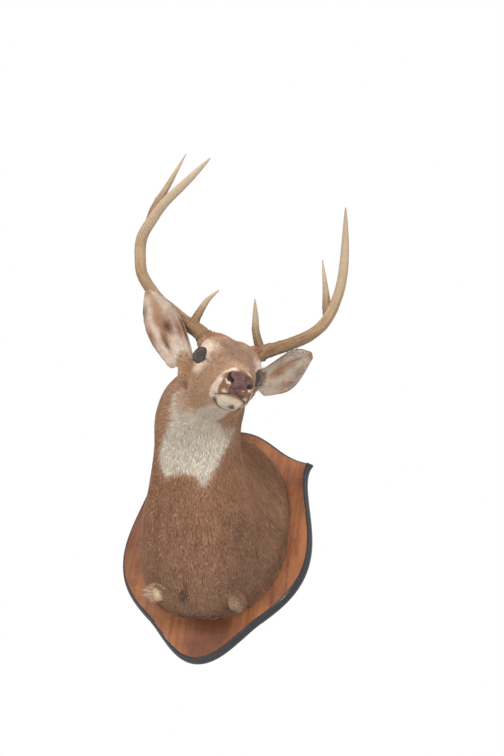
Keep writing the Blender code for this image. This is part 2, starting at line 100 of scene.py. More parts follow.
def ease(low, high, value):
    """0 at low, 1 at high, and smooth between."""
    t = np.clip((np.asarray(value, float) - low) / (high - low), 0.0, 1.0)
    return t * t * (3.0 - 2.0 * t)


def bell(distance, radius):
    """1 at no distance, falling smoothly to 0 at the radius."""
    return 1.0 - ease(0.0, radius, distance)


def unit(vectors):
    vectors = np.asarray(vectors, float)
    return vectors / np.maximum(np.linalg.norm(vectors, axis=-1, keepdims=True), 1e-9)


def dots(a, b):
    return np.sum(a * b, axis=-1)


def to_head(points):
    return (points - HEAD_ORIGIN) @ HEAD_AXES / MM


def head_direction(vectors):
    """Directions given along the head's axes, in the frame of the mount."""
    return np.asarray(vectors, float) @ HEAD_AXES.T


def on_head(point):
    return HEAD @ (Vector(point) * MM)


def on_crown(point):
    return CROWN @ (Vector(point) * MM)


def folded(h):
    """Head points with the right half laid over the left, as most features of the head are paired."""
    return np.stack([np.abs(h[:, 0]), h[:, 1], h[:, 2]], axis=1)


def blob(h, centre, radii, paired=True):
    """A soft oval spot in head coordinates, on both sides of the head unless it is on its middle."""
    spot = folded(h) if paired else h
    reach = np.linalg.norm((spot - np.array(centre)) / np.array(radii), axis=1)
    return bell(reach, 1.0)


def edge_reach(points, start, end):
    """Distance to a straight edge."""
    edge = end - start
    along = np.clip(((points - start) @ edge) / (edge @ edge), 0.0, 1.0)
    return np.linalg.norm(points - start - along[:, None] * edge, axis=1)


def line_reach(points, corners):
    """Distance to a bent line."""
    corners = np.array(corners, float)
    return np.min([edge_reach(points, *ends) for ends in zip(corners[:-1], corners[1:])], axis=0)


def outline_reach(points, corners):
    """Distance of flat points outside a closed outline, negative inside it."""
    corners = np.array(corners, float)
    inside = np.zeros(len(points), bool)
    for start, end in zip(corners, np.roll(corners, -1, axis=0)):
        run, rise = end - start
        rise = rise if abs(rise) > TINY else TINY
        crosses = (start[1] > points[:, 1]) != (end[1] > points[:, 1])
        inside ^= crosses & (points[:, 0] < start[0] + (points[:, 1] - start[1]) * run / rise)
    reach = line_reach(points, np.vstack([corners, corners[:1]]))
    return np.where(inside, -reach, reach)


def wander(points, scale, seed=0.0):
    """Slow smooth noise from -1 to 1, cheap enough for every hair."""
    x, y, z = (points * scale + seed).T
    wave = (np.sin(x * 1.7 + np.sin(y * 2.3) * 1.3) + np.sin(y * 1.9 + np.sin(z * 2.1) * 1.4)
            + np.sin(z * 1.6 + np.sin(x * 2.7) * 1.2))
    return wave / 3.0


def strands(points, flow, long, wide, seed=0.0):
    """Noise from -1 to 1 drawn out along the hair: lengths of its streaks along and across, in metres."""
    along = dots(points, flow)[:, None] * flow
    spots = (points - along) / np.reshape(wide, (-1, 1)) + along / long + seed
    return np.array([noise.noise(spot) for spot in spots])


def linear(red, green, blue):
    """A display colour, 0 to 255, as linear light."""
    values = np.array((red, green, blue), float) / 255.0
    return np.where(values <= 0.04045, values / 12.92, ((values + 0.055) / 1.055) ** 2.4)


def rgba(red, green, blue):
    return (*linear(red, green, blue), 1.0)


# ---------------------------------------------------------------- ears, eyes and the neck's line

# Each ear's root, its tip and the way its cup faces, on the crown's axes
EARS = {
    "right": ((-78, 80, -8), (-193, 108, 126), (-0.30, -0.95, -0.10)),
    "left": ((74, 86, 4), (192, 150, 117), (0.35, -0.90, -0.25)),
}
# Along the ear: part of its length, half width across, how far the cup wraps in degrees
EAR_STATIONS = ((0.00, 25, 86), (0.14, 30, 84), (0.32, 36, 78), (0.52, 37, 62), (0.72, 30, 46),
                (0.88, 17, 34), (0.975, 6, 20))
# How far the cup's floor lies behind the line from root to tip, times its radius and the wrap's cosine
EAR_CENTRE_SHIFT = 0.35


def ear_axes(side):
    """Root, tip, and the ways along, out of and across an ear, in head coordinates."""
    root, tip, facing = (CROWN_IN_HEAD @ np.array(v, float) for v in EARS[side])
    along = unit(tip - root)
    face = unit(facing - along * (facing @ along))
    across = np.cross(along, face)
    return root, tip, along, face, across


def front_sign(side, across):
    """1 if across points to the ear's front edge, which is the inner and upper one, or else -1."""
    return np.sign(across @ np.array((1.0 if side == "right" else -1.0, 0.0, 1.0)))


def ear_place(side, h):
    """Where head points lie on an ear: part of its length, place across from the front edge (-1) to
    the back edge (1), and distance out from the middle of the shell's thickness."""
    root, tip, along, face, across = ear_axes(side)
    parts, half_widths, wraps = np.array(EAR_STATIONS).T
    length = np.linalg.norm(tip - root)
    part = (h - root) @ along / length
    clipped = np.clip(part, 0.0, parts[-1])
    half_width = np.interp(clipped, parts, half_widths)
    bend = np.radians(np.interp(clipped, parts, wraps))
    radius = half_width / np.sin(np.minimum(bend, math.pi / 2))
    centre = (root + along * (clipped * length)[:, None]
              + face * (radius * (1 - np.cos(bend) * EAR_CENTRE_SHIFT))[:, None])
    out = h - centre
    angle = np.arctan2(out @ across, -(out @ face))
    lateral = -front_sign(side, across) * angle / bend
    distance = np.hypot(out @ across, out @ face) - radius
    return part, lateral, distance


# Eyes: middle of the ball, its radius, the front of the lids, and the way the ball looks
EYE_PLACE = (53.5, 9.0, -0.8)
EYE_RADIUS = 18.8
EYE_FRONT = (66.0, -2.0, 0.0)
GAZE_TURN = math.radians(49)
GAZE_RISE = math.radians(2)
GAZE = (math.sin(GAZE_TURN) * math.cos(GAZE_RISE), -math.cos(GAZE_TURN) * math.cos(GAZE_RISE),
        math.sin(GAZE_RISE))
# Half length and half height of the pupil and of the opening between the lids, as arcs on the ball
PUPIL_LONG = 8.4
PUPIL_HIGH = 9.8
OPENING_LONG = 15.2
OPENING_HIGH = 17.6
# Corners of the opening: angle round the eye and span in degrees, and how far out they reach
LID_CORNERS = ((-28, 24, 3.2), (-148, 26, 2.4))
# Lids: reach of the skin that they take in, height over the ball, width of their slope, where they turn in
LID_AREA = 43
LID_LIFT = 1.6
LID_SPREAD = 11.0
LID_EDGE = 0.25
# Depth of the skin below the ball's surface inside the opening, and its least height over it elsewhere
EYE_SINK = 3.2
BALL_COVER = 0.9
# Reach from the middle of an eye over which its markings fade out
EYE_MARKS_END = (38, 32)


def eye_place(h):
    """Polar place round the nearer eye: arc from the gaze, angle round it, distance from its middle,
    and the direction from its middle."""
    spot = folded(h) - np.array(EYE_PLACE)
    reach = np.linalg.norm(spot, axis=1)
    ray = spot / np.maximum(reach, 1e-6)[:, None]
    gaze = np.array(GAZE)
    ahead = unit(np.array((-math.cos(GAZE_TURN), -math.sin(GAZE_TURN), 0.0)))
    up = np.cross(ahead, gaze)
    up = up if up[2] > 0 else -up
    arc = np.arccos(np.clip(ray @ gaze, -1.0, 1.0)) * EYE_RADIUS
    angle = np.arctan2(ray @ up, ray @ ahead)
    return arc, angle, reach, ray


def opening_edge(angle):
    """Arc from the gaze to the lids, at an angle from straight ahead (0) over the top."""
    edge = 1.0 / np.sqrt((np.cos(angle) / OPENING_LONG) ** 2 + (np.sin(angle) / OPENING_HIGH) ** 2)
    for corner, span, out in LID_CORNERS:
        apart = np.abs(np.angle(np.exp(1j * (angle - math.radians(corner)))))
        edge = edge + out * bell(apart, math.radians(span))
    return edge


def lid_place(h):
    """Distance from the middle of the nearer eye, and arc outside the opening between its lids."""
    arc, angle, reach, _ = eye_place(h)
    return reach, arc - opening_edge(angle)


# Middle of the neck and body, from the head to the board
NECK_LINE = np.array((
    (0.033, -0.275, 0.204), (0.006, -0.240, 0.198), (-0.013, -0.210, 0.178), (-0.017, -0.178, 0.145),
    (-0.014, -0.149, 0.104), (-0.010, -0.118, 0.064), (-0.005, -0.085, 0.035), (0.000, -0.054, 0.024),
    (0.000, -0.021, 0.026),
))
# Distance over which the line's spans blend
NECK_BLUR = 0.035


def neck_place(points):
    """Place along the neck's line, 0 at the head and 1 at the board, and the line's direction there."""
    starts, ends = NECK_LINE[:-1], NECK_LINE[1:]
    steps = ends - starts
    spans = np.linalg.norm(steps, axis=1)
    offset = np.concatenate([[0.0], np.cumsum(spans)])
    total = offset[-1]
    gap = points[:, None, :] - starts[None]
    along = np.clip(np.sum(gap * steps, axis=2) / spans ** 2, 0.0, 1.0)
    nearest = starts + along[..., None] * steps
    distance = np.linalg.norm(points[:, None, :] - nearest, axis=2)
    excess = distance - distance.min(axis=1, keepdims=True)
    weight = np.exp(-(excess / NECK_BLUR) ** 2)
    weight /= weight.sum(axis=1, keepdims=True)
    place = np.sum(weight * (offset[:-1] + along * spans), axis=1) / total
    direction = unit(weight @ (steps / spans[:, None]))
    middle = np.sum(weight[..., None] * nearest, axis=1)
    return place, direction, middle


# ---------------------------------------------------------------- markings

BROWN = linear(168, 124, 94)
# Brown of the back, also laid on the deer's left side as painted shade
BACK_AND_SHADE_BROWN = linear(134, 97, 74)
LOW_BROWN = linear(162, 120, 92)
NECK_TAN = linear(190, 148, 114)
THROAT_WHITE = linear(232, 223, 208)
CHIN_WHITE = linear(228, 215, 198)
RING_WHITE = linear(238, 218, 200)
BRIDGE_BROWN = linear(158, 124, 98)
FOREHEAD_TAN = linear(180, 142, 112)
CROWN_RUST = linear(172, 118, 82)
CHEEK_TAN = linear(192, 150, 116)
DARK_BAND = linear(124, 88, 66)
CREASE_BROWN = linear(96, 68, 52)
EAR_CREAM = linear(216, 198, 180)
EAR_BROWN = linear(158, 108, 78)
EAR_DARK = linear(104, 70, 54)
EAR_TAN = linear(182, 142, 112)
EAR_GREY = linear(152, 132, 116)
EAR_RUST = linear(172, 118, 82)
EAR_BACK = linear(150, 120, 98)
EAR_TIP = linear(176, 126, 82)
LEG_PALE = linear(200, 180, 156)
# Painted shade for the chest's seam and the side crease
SEAM_SHADE = linear(84, 60, 47)
SOCKET_DARK = linear(40, 28, 22)
WET_DARK = linear(58, 36, 32)
PAD_MAROON = linear(104, 72, 66)
PAD_LOW = linear(106, 62, 52)
MUZZLE_RUST = linear(150, 108, 80)
# Near black inside the nostrils, partly their dark skin and partly painted shade
NOSTRIL_SHADE = linear(24, 17, 16)

# Edge of the white throat patch, looking back at the mount along Y, in millimetres across and up
THROAT_EDGE = ((4, 195), (-34, 180), (-37, 138), (-53, 131), (-69, 120), (-77, 106), (-80, 92), (-76, 73),
               (-69, 63), (-52, 56), (-41, 60), (-20, 61), (-5, 59), (3, 50), (14, 46), (22, 54), (29, 72),
               (35, 87), (44, 106), (49, 123), (56, 139), (64, 150), (70, 158), (40, 175))
# The patch ends this far back along Y
THROAT_FRONT = -165
# Muzzle's white band: heights, and how far back its edges lie there
BAND_OUTER = ((-92, -86, -67, -50, -38, -25), (-108, -114, -142, -153, -160, -147))
BAND_INNER = ((-92, -88, -68, -53, -47, -40), (-160, -166, -173, -180, -195, -197))
NOSTRIL_RIM = ((26, -191, -66), (22, -196, -72), (15, -199, -71))
# White under the jaw: places along the head, and half widths there
JAW_WHITE = ((-130, -60, -20, 70, 100, 130), (17, 21, 24, 34, 48, 58))
# Hair swirls over the legs, the way each one's hair points, and their reach
LEG_SWIRLS = ((-0.066, -0.088, -0.158), (0.070, -0.083, -0.174))
SWIRL_LEAN = ((-1.0, -0.35, 0.0), (0.95, -0.35, -0.45))
SWIRL_REACH = 0.027
# Seam down the middle of the chest, and the crease down its side
CHEST_SEAM = ((-0.014, -0.114, -0.140), (-0.012, -0.094, -0.162))
SIDE_CREASE = ((-0.085, -0.177, 0.007), (-0.084, -0.143, -0.066), (-0.075, -0.103, -0.134),
               (-0.068, -0.098, -0.154))


def throat_reach(points):
    """Distance in millimetres outside the white throat patch, seen from the front."""
    return outline_reach(points[:, (0, 2)] / MM, THROAT_EDGE)


def swirl_reach(points):
    return np.min([np.linalg.norm(points - np.array(c), axis=1) for c in LEG_SWIRLS], axis=0)


def swirl_fan(points):
    """Way that the hair of the nearer leg swirl points."""
    centres = np.array(LEG_SWIRLS)
    gaps = points[:, None, :] - centres[None]
    nearest = np.linalg.norm(gaps, axis=2).argmin(axis=1)
    out = unit(gaps[np.arange(len(points)), nearest])
    return unit(0.24 * out + np.array(SWIRL_LEAN)[nearest])


def paint(fur, shade, weight):
    """Lay a shade over colours, as strongly as the weight says at each point."""
    weight = np.clip(weight, 0.0, 1.0)[:, None]
    fur += (shade - fur) * weight


# Nose pad: heights, its half width there, and the bottom and front of it
PAD_EDGE = ((-90, -86, -79, -70, -60, -53, -48, -45), (12, 16.5, 17, 16.5, 22, 21.5, 14, 2))
PAD_BOTTOM = (-92, -89)
PAD_FRONT = -183.0
PAD_CURVE = 0.10


def nose_pad(h):
    """1 on the bare nose pad."""
    x = np.abs(h[:, 0])
    inside = ease(1.2, -1.2, x - np.interp(h[:, 2], *PAD_EDGE))
    front = PAD_FRONT + PAD_CURVE * x
    return inside * ease(front + 2.5, front - 0.5, h[:, 1]) * ease(*PAD_BOTTOM, h[:, 2])


# Mouth: height of its front, how it bows down to the sides, and where its corners lie
MOUTH_FRONT = -88.5
MOUTH_BOW = 0.007
MOUTH_CORNER_Y = -133.0


def mouth_height(h):
    """Height of the mouth's line at places along and across the muzzle."""
    x, y = np.abs(h[:, 0]), h[:, 1]
    bowed = MOUTH_FRONT - MOUTH_BOW * x ** 2 * ease(-165, -185, y)
    return bowed - 2.0 * ease(-190, -150, y) + 1.5 * ease(-150, -133, y)


def mouth_line(h, half_width):
    off = np.abs(h[:, 2] - mouth_height(h))
    return bell(off, half_width) * ease(MOUTH_CORNER_Y + 4, MOUTH_CORNER_Y - 4, h[:, 1])


def paint_crown(fur, h, mottle):
    """Brown along the bridge and brow, rust between the antlers and tan behind them."""
    x, y, z = folded(h).T
    upper = ease(-38, -8, z + 0.25 * (y + 60))
    paint(fur, BRIDGE_BROWN, upper * ease(46, 26, x))
    paint(fur, BRIDGE_BROWN, 0.75 * blob(h, (30, -110, -30), (26, 70, 26)))
    paint(fur, FOREHEAD_TAN, ease(-50, 10, y) * ease(20, 45, z) * (0.65 + 0.35 * mottle))
    paint(fur, BRIDGE_BROWN, 0.5 * blob(h, (0, 10, 50), (24, 40, 26), False))
    back = y + 6 * mottle - 0.25 * np.minimum(h[:, 0], 0)
    paint(fur, CROWN_RUST, ease(16, 42, back) * ease(34, 50, z))
    paint(fur, NECK_TAN, ease(50, 110, y) * ease(45, 20, z))


def paint_round_eyes(fur, h, fine):
    """Pale rings, widest over the brow and in front, and the crease of the gland before each eye."""
    arc, angle, reach, _ = eye_place(h)
    rim = arc - opening_edge(angle)
    wide = 9.0 + 2.0 * ease(-0.2, 0.9, np.sin(angle)) + 2.0 * ease(0.2, 0.9, np.cos(angle))
    ring = ease(wide + 4.0, wide - 4.0, rim + 1.5 * fine)
    paint(fur, RING_WHITE, ease(*EYE_MARKS_END, reach) * ring * 0.80)
    paint(fur, RING_WHITE, 0.98 * blob(h, (46, -20, 12), (23, 44, 24)) ** 0.8 * (0.84 + 0.20 * fine))
    paint(fur, RING_WHITE, 0.60 * blob(h, (58, 18, 30), (12, 24, 16)))
    paint(fur, RING_WHITE, 1.15 * blob(h, (56, -22, -28), (22, 44, 20)) * (0.78 + 0.2 * fine))
    crease = line_reach(folded(h), TEAR_LINE)
    paint(fur, RING_WHITE, 0.60 * bell(crease, 12.0))
    paint(fur, DARK_BAND, 0.75 * bell(crease, 5.4))
    paint(fur, CREASE_BROWN, 0.85 * bell(crease, 2.8))
    paint(fur, DARK_BAND, 0.35 * blob(h, (36, -68, -26), (9, 34, 12)))


def paint_muzzle(fur, h, mottle, fine):
    """Orange-brown next to the nose pad, then a slanting white band, and white round the nostrils."""
    x, y, z = folded(h).T
    outer = np.interp(z, *BAND_OUTER)
    inner = np.interp(z, *BAND_INNER)
    aside = np.maximum(x - np.interp(z, *PAD_EDGE), 0.0)
    above = ease(-24, -36, z) * ease(-96, -90, z)
    paint(fur, MUZZLE_RUST, 0.85 * ease(inner - 8, inner + 2, y) * ease(inner + 30, inner, y) * above)
    paint(fur, MUZZLE_RUST, 0.90 * ease(inner + 4, inner - 2, y) * above)
    band = ease(outer + 4, outer - 7, y + 2.0 * mottle) * ease(inner - 3, inner + 4, y + 2.0 * fine)
    paint(fur, RING_WHITE, 0.92 * band * above * ease(4, 12, aside + 6 * ease(-60, -70, z)))
    paint(fur, CREASE_BROWN, 0.50 * ease(7.0, 1.0, aside) * ease(-58, -50, z) * ease(-160, -172, y))
    paint(fur, RING_WHITE, 1.3 * blob(h, (19, -184, -87), (9, 14, 7.5)) * ease(-90.5, -88, z))
    paint(fur, RING_WHITE, 0.85 * ease(4.2, 1.6, line_reach(folded(h), NOSTRIL_RIM)))


def paint_jaw(fur, h, mottle):
    """White on the chin and under the jaw, and brown that runs from the mouth's corners round it."""
    x, y, z = folded(h).T
    paint(fur, CREASE_BROWN, 0.80 * blob(h, (25, -138, -98), (10, 19, 10)))
    jaw = np.interp(y, *JAW_WHITE)
    under = 0.90 * ease(-90, -99, z) * ease(-132, -112, y)
    paint(fur, CHIN_WHITE, under * ease(jaw + 7, jaw - 5, x + 3 * mottle))
    paint(fur, CHIN_WHITE, 0.97 * ease(-92, -95, z) * ease(-137, -146, y))
    paint(fur, DARK_BAND, 1.4 * blob(h, (4, -172, -108), (10, 15, 10), False))
    paint(fur, CREASE_BROWN, 0.80 * ease(7.5, 2.5, np.abs(y + 134)) * ease(-92, -97, z) * ease(32, 22, x))


def paint_bare_skin(fur, h):
    """Lips, nose pad, painted shade inside the nostrils, and the lids' dark edges."""
    paint(fur, WET_DARK, 0.95 * mouth_line(h, 1.9))
    pad = nose_pad(h)
    paint(fur, PAD_MAROON, pad)
    paint(fur, PAD_LOW, 0.8 * pad * ease(-66, -78, h[:, 2]))
    # Painted shade: the nostrils deepened to near black inside
    pit = line_reach(folded(h), PIT_LINE)
    paint(fur, NOSTRIL_SHADE, 0.97 * ease(PIT_REACH + 1.2, PIT_REACH - 1.2, pit))
    reach, rim = lid_place(h)
    paint(fur, SOCKET_DARK, 0.95 * ease(*EYE_MARKS_END, reach) * ease(2.9, 2.1, rim))


def head_colours(h):
    """Markings of the face and jaw."""
    mottle = wander(h, 0.11)
    fine = wander(h, 0.45, 3.0)
    fur = np.tile(CHEEK_TAN, (len(h), 1))
    paint_crown(fur, h, mottle)
    paint_round_eyes(fur, h, fine)
    paint_muzzle(fur, h, mottle, fine)
    paint_jaw(fur, h, mottle)
    paint_bare_skin(fur, h)
    paint(fur, EAR_CREAM, 0.65 * blob(h, (80, 82, -40), (16, 26, 30)))
    fur *= (1.0 + 0.09 * mottle + 0.06 * fine)[:, None]
    return fur


def body_colours(points):
    """Markings of the neck, throat, chest and shoulders, and painted shade on the left side and in creases.
    """
    x, y, z = points.T
    mottle = wander(points, 26.0)
    fine = wander(points, 150.0, 5.0)
    place, _, middle = neck_place(points)
    fur = np.tile(BROWN, (len(points), 1))
    paint(fur, NECK_TAN, ease(0.46, 0.18, place + 0.05 * mottle) * 0.9)
    paint(fur, BACK_AND_SHADE_BROWN, 0.85 * ease(0.01, 0.09, z - middle[:, 2]) * ease(0.15, 0.45, place))
    # Painted shade: darker brown high on the deer's left side
    paint(fur, BACK_AND_SHADE_BROWN, 0.65 * ease(0.06, 0.13, x) * ease(0.02, 0.16, z))
    paint(fur, LOW_BROWN, 0.8 * ease(-0.06, -0.14, z))
    # White throat, with a tan edge that is wider on the deer's left
    across = x / MM
    reach = throat_reach(points) + 2.5 * mottle + 2.0 * fine
    front_edge = THROAT_FRONT - np.maximum(across - 20.0, 0.0)
    front = ease(front_edge + 3, front_edge - 9, y / MM)
    paint(fur, THROAT_WHITE, 0.90 * ease(4.0, -4.0, reach) * front)
    paint(fur, NECK_TAN, 0.5 * ease(-3, 2, reach) * ease(16, 5, reach) * front)
    beside = front * ease(25, 45, across) * ease(0, 6, reach) * ease(34, 16, reach)
    paint(fur, NECK_TAN, 0.55 * beside * (0.8 + 0.4 * fine))
    # Pale leg swirls, darker on the inside of the legs
    swirl = bell(swirl_reach(points), SWIRL_REACH)
    outer = ease(-0.006, 0.008, np.abs(x) - 0.064)
    paint(fur, LEG_PALE, 1.5 * swirl * (0.25 + 0.75 * outer) * (0.85 + 0.3 * fine))
    paint(fur, DARK_BAND, 0.8 * swirl * (1.0 - outer))
    seam = line_reach(points, CHEST_SEAM)
    paint(fur, CROWN_RUST, 0.9 * bell(seam, 0.016))
    # Painted shade inside the chest's seam and down the side crease
    paint(fur, SEAM_SHADE, 1.2 * bell(seam, 0.008))
    paint(fur, SEAM_SHADE, 0.22 * bell(line_reach(points, SIDE_CREASE), 0.014))
    # Painted shade: darker brown low on the deer's left side
    paint(fur, BACK_AND_SHADE_BROWN, 0.55 * ease(0.02, 0.09, x) * ease(0.10, -0.02, z))
    fur *= (1.0 + 0.07 * mottle + 0.05 * fine)[:, None]
    return fur


EVEN = (1.0, 0.0)
STREAKED = (0.85, 0.5)
# Marks in the ears' cups, in the order that they are laid: shade, strength, place along and across the
# ear, reach along and across, and how much of the strength is even and how much follows the streaks
EAR_MARKS = {
    "right": (
        (EAR_TAN, 1.25, (0.72, -0.04), (0.32, 0.62), (0.80, 0.5)),
        (EAR_RUST, 1.00, (0.58, 0.20), (0.18, 0.34), STREAKED),
        (EAR_CREAM, 0.70, (0.58, 0.62), (0.16, 0.26), EVEN),
        (EAR_BROWN, 1.20, (0.46, -0.06), (0.17, 0.52), STREAKED),
        (EAR_DARK, 1.15, (0.47, -0.08), (0.11, 0.34), STREAKED),
        (EAR_BROWN, 1.00, (0.36, 0.22), (0.18, 0.26), EVEN),
        (EAR_DARK, 0.95, (0.26, 0.28), (0.20, 0.17), EVEN),
        (EAR_CREAM, 0.80, (0.22, 0.50), (0.22, 0.18), EVEN),
        (EAR_BROWN, 1.15, (0.41, 0.88), (0.28, 0.36), STREAKED),
        (EAR_GREY, 1.00, (0.72, 0.92), (0.18, 0.34), EVEN),
        (EAR_BROWN, 1.10, (0.34, -0.62), (0.24, 0.30), EVEN),
        (EAR_DARK, 1.25, (0.28, -0.95), (0.34, 0.26), EVEN),
        (EAR_CREAM, 0.85, (0.14, 0.05), (0.12, 0.42), EVEN),
    ),
    "left": (
        (EAR_RUST, 1.25, (0.36, -0.04), (0.32, 0.40), STREAKED),
        (EAR_TAN, 1.10, (0.60, -0.12), (0.26, 0.36), STREAKED),
        (EAR_DARK, 0.60, (0.72, -0.16), (0.18, 0.10), EVEN),
        (EAR_TAN, 1.10, (0.37, 0.70), (0.24, 0.40), STREAKED),
        (EAR_DARK, 0.90, (0.46, 0.78), (0.12, 0.22), (0.5, 1.0)),
        (EAR_GREY, 0.95, (0.68, 0.68), (0.22, 0.46), (0.8, 0.6)),
        (EAR_TAN, 0.80, (0.92, -0.55), (0.16, 0.50), EVEN),
        (EAR_CREAM, 0.70, (0.20, -0.80), (0.30, 0.34), EVEN),
    ),
}


def ear_colours(side, h, inside):
    """Markings of one ear: cream with brown patches in the cup, brown on its back."""
    part, lateral, _ = ear_place(side, h)
    mottle = wander(h, 0.13, 1.0)
    fine = wander(h, 0.5, 7.0)
    cloud = wander(h, 0.06, 5.0)
    hairs = wander(np.stack([2.0 * part, 15.0 * lateral + 3.0 * mottle, 4.0 * part], axis=1), 1.0, 2.0)
    streak = 0.35 * fine + 0.65 * hairs
    back = np.tile(EAR_BACK, (len(h), 1))
    paint(back, EAR_GREY, 0.6 * ease(0.2, 0.8, mottle + 0.5))
    paint(back, EAR_CREAM, 0.55 * ease(0.35, 0.0, part))
    cup = np.tile(EAR_CREAM, (len(h), 1))
    paint(cup, EAR_GREY, 0.42 * ease(-0.5, 0.9, hairs + 0.6 * cloud))
    paint(cup, EAR_BROWN, 0.22 * ease(0.2, 0.9, cloud - 0.4 * hairs))
    for shade, strength, (at_part, at_lateral), (long, wide), (even, streaky) in EAR_MARKS[side]:
        mark = bell(np.hypot((part - at_part) / long, (lateral - at_lateral) / wide), 1.0)
        paint(cup, shade, strength * mark * (even + streaky * streak))
    paint(cup, EAR_DARK, 0.65 * ease(0.92, 1.0, lateral) * ease(0.1, 0.3, part))
    paint(cup, EAR_DARK, 0.45 * ease(-0.95, -1.02, lateral) * ease(0.1, 0.3, part))
    fur = back + (cup - back) * inside[:, None]
    paint(fur, EAR_TIP, 0.85 * ease(0.86, 0.95, part + 0.02 * mottle))
    paint(fur, EAR_DARK, 0.6 * ease(0.955, 0.985, part))
    fur *= (1.0 + 0.06 * mottle + 0.07 * fine)[:, None]
    return fur


# ---------------------------------------------------------------- how the hair lies

# How strongly the hair of the body hangs down
GRAVITY_PULL = 0.40
# Coat along the head: place, depth of the coat and length of its hair, in millimetres
COAT_ALONG = ((-205, 0.4, 2.5), (-184, 0.7, 3.5), (-165, 1.3, 4.8), (-120, 1.9, 6.2), (-60, 2.4, 7.5),
              (-20, 2.8, 8.0), (40, 3.8, 10.0), (90, 5.2, 14.0), (130, 6.5, 20.0))
BODY_LENGTH = 17.0
BODY_DEPTH = 5.5
# How much longer and deeper the coat is on the crown, in the leg swirls, along the seam and on the
# ridges between the antlers and ears, in millimetres
CROWN_LONGER = 5.0
CROWN_DEEPER = 1.0
SWIRL_LONGER = 13.0
SWIRL_DEEPER = 7.0
SEAM_LONGER = 4.0
RIDGE_LONGER = 5.0
# How much more the tufts' tips rise on the ridges, in the swirls and along the seam
RIDGE_RISE = 7.0
SWIRL_RISE = 2.0
SEAM_RISE = 5.0


def coat_along_head(h):
    """Depth of the coat and length of its hair at places along the head."""
    places, depths, lengths = np.array(COAT_ALONG, float).T
    return np.interp(h[:, 1], places, depths), np.interp(h[:, 1], places, lengths)


def head_lie(h):
    """Way that the hair of the head lies: back from the nose, and away from the eyes behind them."""
    flow = np.tile(np.array((0.0, 1.0, 0.0)), (len(h), 1))
    flow[:, 2] += 0.25 * ease(0, 40, h[:, 2]) - 0.20 * ease(-40, -90, h[:, 2])
    flow[:, 0] += 0.30 * np.sign(h[:, 0]) * ease(20, 60, np.abs(h[:, 0])) * ease(-20, 60, h[:, 1])
    _, _, reach, ray = eye_place(h)
    away = ray * np.stack([np.sign(h[:, 0]), np.ones(len(h)), np.ones(len(h))], axis=1)
    flow += 1.1 * (bell(reach, 42.0) * ease(0.6, -0.4, ray[:, 1]))[:, None] * away
    return unit(head_direction(unit(flow)))


def body_lie(points, swirl, seam):
    """Way that the hair of the neck and body lies: back and down, out of the swirls and into the seam."""
    place, line, _ = neck_place(points)
    flow = line + np.array((0.0, 0.0, -GRAVITY_PULL)) * ease(0.15, 0.5, place)[:, None]
    flow += 3.0 * bell(swirl, SWIRL_REACH * 1.5)[:, None] * swirl_fan(points)
    to_seam = np.zeros_like(points)
    to_seam[:, 0] = np.sign(CHEST_SEAM[0][0] - points[:, 0])
    to_seam[:, 2] = -0.8
    flow += 1.4 * bell(seam, 0.022)[:, None] * to_seam
    return unit(flow)


def ear_coat(side, h):
    """Way, length, depth and markings of one ear's hair: fringes cross the cup from both its edges."""
    _, _, along, _, across = ear_axes(side)
    part, lateral, distance = ear_place(side, h)
    inside = ease(-0.3, 0.3, -distance)
    inward = across * front_sign(side, across)
    cross = -inward * (bell(np.abs(lateral + 0.85), 0.9) * 0.75)[:, None]
    cross += inward * (bell(np.abs(lateral - 0.95), 0.5) * 0.25)[:, None]
    flow = head_direction(unit(along + cross * inside[:, None]))
    length = 6.5 + 3.0 * (1.0 - inside) + 9.0 * inside * bell(np.abs(lateral + 0.8), 0.7)
    length += 5.0 * inside * ease(0.4, 0.1, part)
    depth = 0.9 + 0.5 * inside * bell(np.abs(lateral + 0.8), 0.8)
    return flow, length, depth, ear_colours(side, h, inside)


